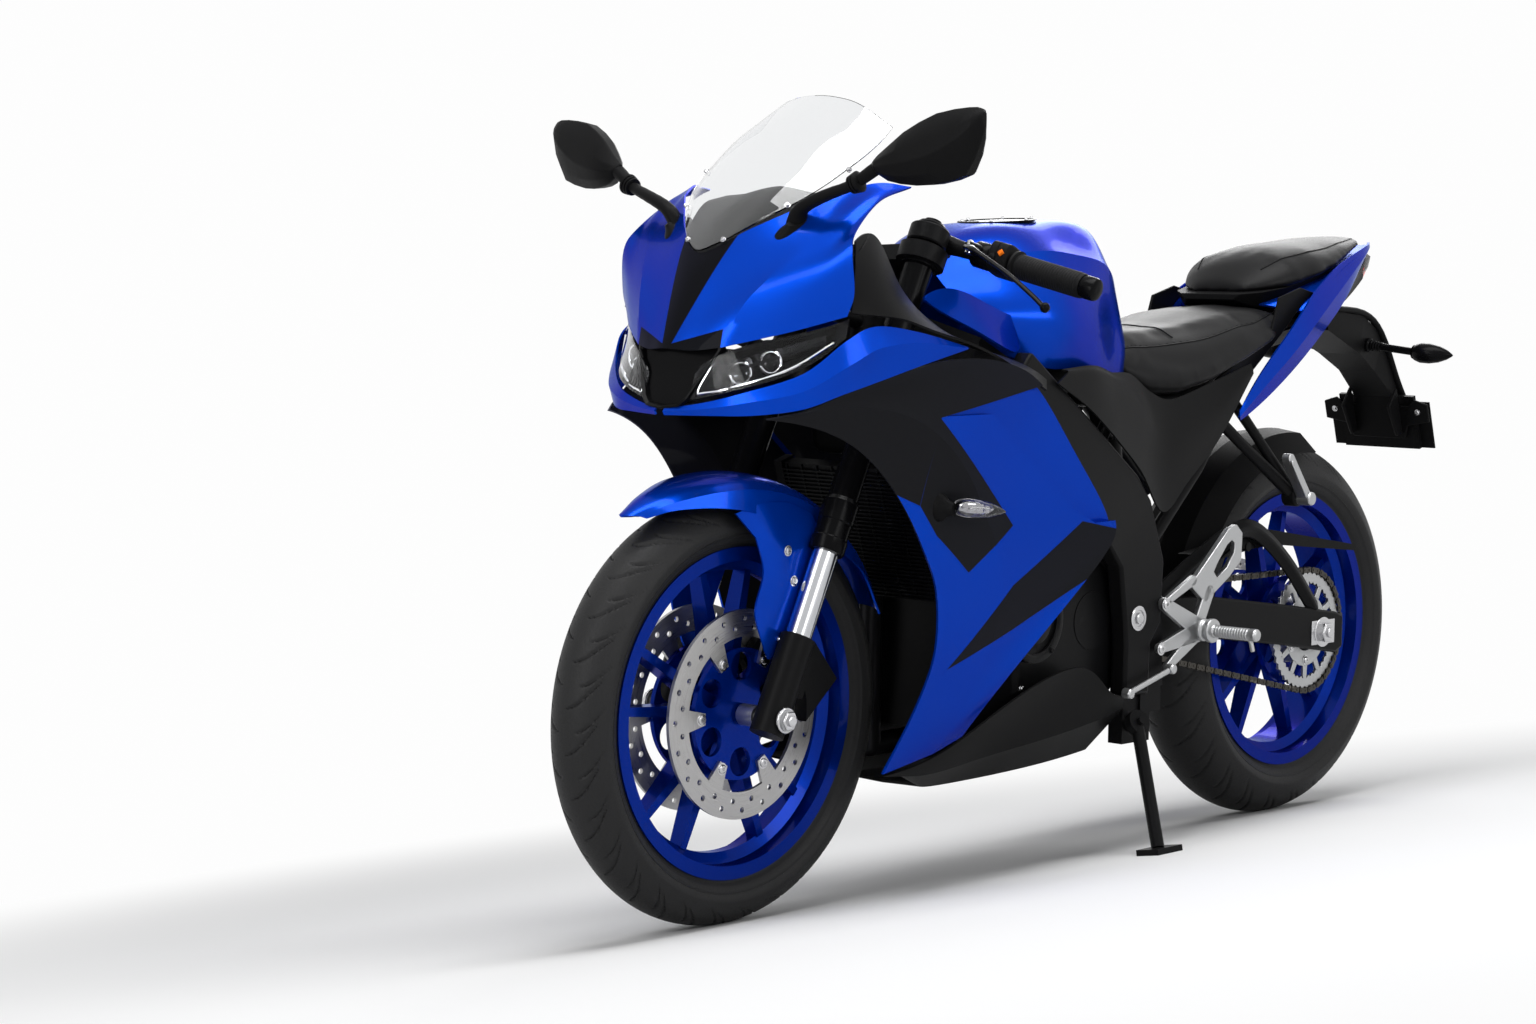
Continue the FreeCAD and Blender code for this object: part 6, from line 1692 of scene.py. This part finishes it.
cross_outline = [(-104, 52), (-104, 84), (-78, 92), (-66, 80), (-40, 80), (-34, 118), (34, 118), (40, 80),
                 (66, 80), (78, 92), (104, 84), (104, 52), (60, 44), (52, 20), (-52, 20), (-60, 44)]
cross_plate = skin([[on_plate(y, up, back) for y, up in cross_outline] for back in (-9, -14)])
gussets = []
for y in (-46, 46):
    corners = [(112, -14), (30, -14), (30, -30), (88, -46)]
    gussets.append(skin([[on_plate(y + out, up, back) for up, back in corners] for out in (-3, 3)]))
lamp_box = skin([[on_plate(y, up, 10) for y, up in ((-32, 58), (32, 58), (32, 78), (-32, 78))],
                 [on_plate(y, up, 30) for y, up in ((-28, 60), (28, 60), (28, 74), (-28, 74))]])
carrier_form = joined(pair(joined(*ribs)), cross_plate, *gussets, lamp_box)
piece("plate_carrier_ribs", carrier_form, black_plastic, "chassis", bevel=1.6, limit=30)
plate_front = on_plate(0, 0, -1) - on_plate(0, 0, 0)
hardware("plate_screws", on_both_sides([(on_plate(84, 70, -14), plate_front, 4)]), "chassis")

# %% Front axle nuts
axle_rows = []
for out in (LEFT, RIGHT):
    centre = FRONT_AXLE + out * 128
    axle_rows.append(turned([(-3, 18), (0, 18), (1.5, 16.5), (1.5, 9)], centre, out, 40))
    axle_rows.append(turned([(1, 14), (7, 14), (8.5, 12.5), (8.5, 8)], centre, out, 6))
    axle_rows.append(turned([(1, 7.6), (12, 7.6), (13, 6), (13, 1)], centre, out, 24))
piece("front_axle_nuts", joined(*axle_rows), bolt_steel, "steering", bevel=0.5, limit=25)

# %% Panel screws
panel_rows = on_both_sides([((126, 187, 752), (0.1, 1, 0.1), 3.6), ((122, 187, 738), (0.1, 1, 0.1), 3.6)])
hardware("panel_screws", panel_rows, "chassis")

# %% Tail's inner panels and the tray under the pillion's pad
inner_outline = [(-300, 700), (-361, 684), (-419, 744), (-504, 806), (-572, 862), (-600, 876), (-560, 884),
                 (-500, 868), (-480, 816), (-400, 772), (-330, 740)]
inner_panel = skin(upright_rings([(inner_outline, 122), (inner_outline, 127)]))
tray_rings = []
for x, half_wide, low, high in ((-486, 58, 862, 872), (-512, 84, 852, 876), (-560, 98, 848, 884),
                                (-640, 104, 864, 902), (-704, 96, 890, 917)):
    tray_rings.append([Vector((x, half_wide, high)), Vector((x, half_wide * 0.8, low)),
                       Vector((x, -half_wide * 0.8, low)), Vector((x, -half_wide, high))])
piece("tail_inner_panels", joined(pair(inner_panel), skin(tray_rings)), black_plastic, "chassis",
      bevel=1.5, limit=30)

# %% [markdown]
# ## Seats
#
# Both seats are foam under stretched vinyl. Each starts as rings a few millimetres inside the
# packed seat, becomes an even net of small faces, and is then blown up a little as cloth whose
# lower edge is held, so the sides pull in and the top crowns. A smoothing takes out the cloth's
# small wrinkles. The seams come last, laid on the finished surface.

# %% Cushions
NET_STEP = 0.006
CORNER_PASSES, WRINKLE_PASSES = 8, 14
CLOTH_STEPS = 20
PRESSURE = 4


def seat_rings(stations):
    """Closed rings from half outlines of (y, z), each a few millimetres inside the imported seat."""
    rings = []
    for x, *half in stations:
        right = [Vector((x, y, z)) for y, z in half]
        ring = right + [Vector((p.x, -p.y, p.z)) for p in reversed(right) if p.y > 0]
        rings.append(smooth_line(ring, 3, closed=True))
    return rings


def cushion(name, rings, hold_below, cap=0.006):
    """A padded form: remeshed, blown up as held cloth with a capped movement, and subdivided."""
    made = piece(name, skin(rings), seat_vinyl, "chassis", limit=180)
    net = made.modifiers.new("even net", "REMESH")
    net.mode = "VOXEL"
    net.voxel_size = NET_STEP
    net.use_smooth_shade = True
    soften = made.modifiers.new("soft corners", "SMOOTH")
    soften.factor = 0.5
    soften.iterations = CORNER_PASSES
    graph = bpy.context.evaluated_depsgraph_get()
    mesh = bpy.data.meshes.new_from_object(made.evaluated_get(graph))
    made.modifiers.clear()
    made.data = mesh
    mesh.materials.clear()
    mesh.materials.append(seat_vinyl)
    held = made.vertex_groups.new(name="held")
    upright = machine.inverted()
    low = [v.index for v in mesh.vertices if hold_below((upright @ v.co) * 1000)]
    held.add(low, 1.0, "REPLACE")
    rest = [v.co.copy() for v in mesh.vertices]
    cloth = made.modifiers.new("cloth", "CLOTH")
    cloth.settings.use_pressure = True
    cloth.settings.uniform_pressure_force = PRESSURE
    cloth.settings.effector_weights.gravity = 0
    cloth.settings.vertex_group_mass = "held"
    for step in range(1, CLOTH_STEPS + 1):
        bpy.context.scene.frame_set(step)
    swollen = made.evaluated_get(bpy.context.evaluated_depsgraph_get()).data
    moved = [v.co.copy() for v in swollen.vertices]
    made.modifiers.remove(cloth)
    bpy.context.scene.frame_set(1)
    for vertex, start, end in zip(mesh.vertices, rest, moved):
        step = end - start
        vertex.co = start + step * min(1.0, cap / max(step.length, 1e-9))
    calm = made.modifiers.new("even tension", "SMOOTH")
    calm.factor = 0.5
    calm.iterations = WRINKLE_PASSES
    softer = made.modifiers.new("subdivision", "SUBSURF")
    softer.levels = softer.render_levels = 1
    return made


rider_rings = seat_rings([
    (-115, (0, 806), (28, 803), (68, 796), (97, 768), (90, 752), (0, 752)),
    (-160, (0, 811), (34, 809), (86, 801), (118, 756), (112, 718), (0, 716)),
    (-225, (0, 813), (38, 811), (96, 805), (132, 762), (128, 718), (0, 716)),
    (-300, (0, 822), (40, 819), (104, 812), (140, 774), (134, 736), (0, 734)),
    (-400, (0, 841), (44, 838), (106, 831), (140, 798), (130, 768), (0, 766)),
    (-480, (0, 848), (44, 845), (102, 839), (134, 816), (124, 796), (0, 794)),
    (-526, (0, 850), (40, 847), (90, 842), (116, 830), (106, 815), (0, 814)),
    (-543, (0, 846), (36, 844), (78, 840), (98, 832), (90, 826), (0, 826))])
rider_cushion = cushion("rider_cushion", rider_rings, lambda p: p.z < 752 + max(0, -p.x - 300) * 0.28)
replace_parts(rider_cushion, "rider_seat")

pillion_rings = seat_rings([
    (-508, (0, 893), (28, 890), (50, 884), (56, 878), (48, 872), (0, 872)),
    (-534, (0, 921), (40, 916), (70, 904), (86, 888), (76, 877), (0, 876)),
    (-572, (0, 944), (44, 940), (84, 928), (108, 902), (98, 884), (0, 883)),
    (-640, (0, 953), (48, 950), (88, 942), (114, 916), (104, 901), (0, 900)),
    (-705, (0, 957), (44, 955), (82, 949), (104, 930), (96, 917), (0, 916)),
    (-760, (0, 965), (40, 963), (70, 958), (88, 945), (80, 933), (0, 932)),
    (-848, (0, 971), (26, 970), (44, 967), (58, 959), (50, 954), (0, 953)),
    (-880, (0, 971), (14, 970), (22, 969), (30, 965), (26, 960), (0, 960))])
pillion_cushion = cushion("pillion_cushion", pillion_rings, lambda p: p.z < 892 + max(0, -p.x - 600) * 0.3,
                          0.005)
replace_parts(pillion_cushion, "pillion_seat")

# %% Seams laid on the cushions
WELT_RADIUS = 1.3
THREAD_RADII = (0.27, 0.45, 0.27)


def laid_on(target, line, lift=0.2):
    """The nearest places on a piece's surface to the points of a line."""
    graph = bpy.context.evaluated_depsgraph_get()
    surface = target.evaluated_get(graph)
    upright = machine.inverted()
    placed = []
    for point in line:
        found, spot, normal, _ = surface.closest_point_on_mesh(at(*point))
        placed.append((upright @ (spot + normal * lift / 1000)) * 1000)
    return placed


def stitch_run(name, target, line):
    """A welt along a seam and a row of stitches beside it."""
    seam = laid_on(target, smooth_line(line, 10))
    welt = tube(seam, WELT_RADIUS, 8)
    stitches = []
    beside = laid_on(target, [point + Vector((0, 0, 5)) for point in seam], 0.35)
    for start, end in zip(beside[::2], beside[1::2]):
        gap = (end - start) * 0.12
        stitches.append(tube([start + gap, (start + end) / 2, end - gap], THREAD_RADII, 6))
    piece(name, joined(welt, *stitches), seat_vinyl, "chassis")


rider_edge = [(-128, 84, 794), (-170, 98, 796), (-240, 108, 799), (-320, 116, 808), (-400, 117, 826),
              (-470, 113, 837), (-520, 98, 844)]
pillion_edge = [(-540, 62, 912), (-572, 76, 930), (-640, 84, 944), (-705, 77, 951), (-780, 60, 962),
                (-850, 36, 968)]
for side, tag in ((1, "left"), (-1, "right")):
    stitch_run(f"rider_seam_{tag}", rider_cushion, [(x, side * y, z) for x, y, z in rider_edge])
    stitch_run(f"pillion_seam_{tag}", pillion_cushion, [(x, side * y, z) for x, y, z in pillion_edge])
stitch_run("rider_cross_seam", rider_cushion,
           [(-250, y, 830) for y in (-108, -80, -40, 0, 40, 80, 108)])
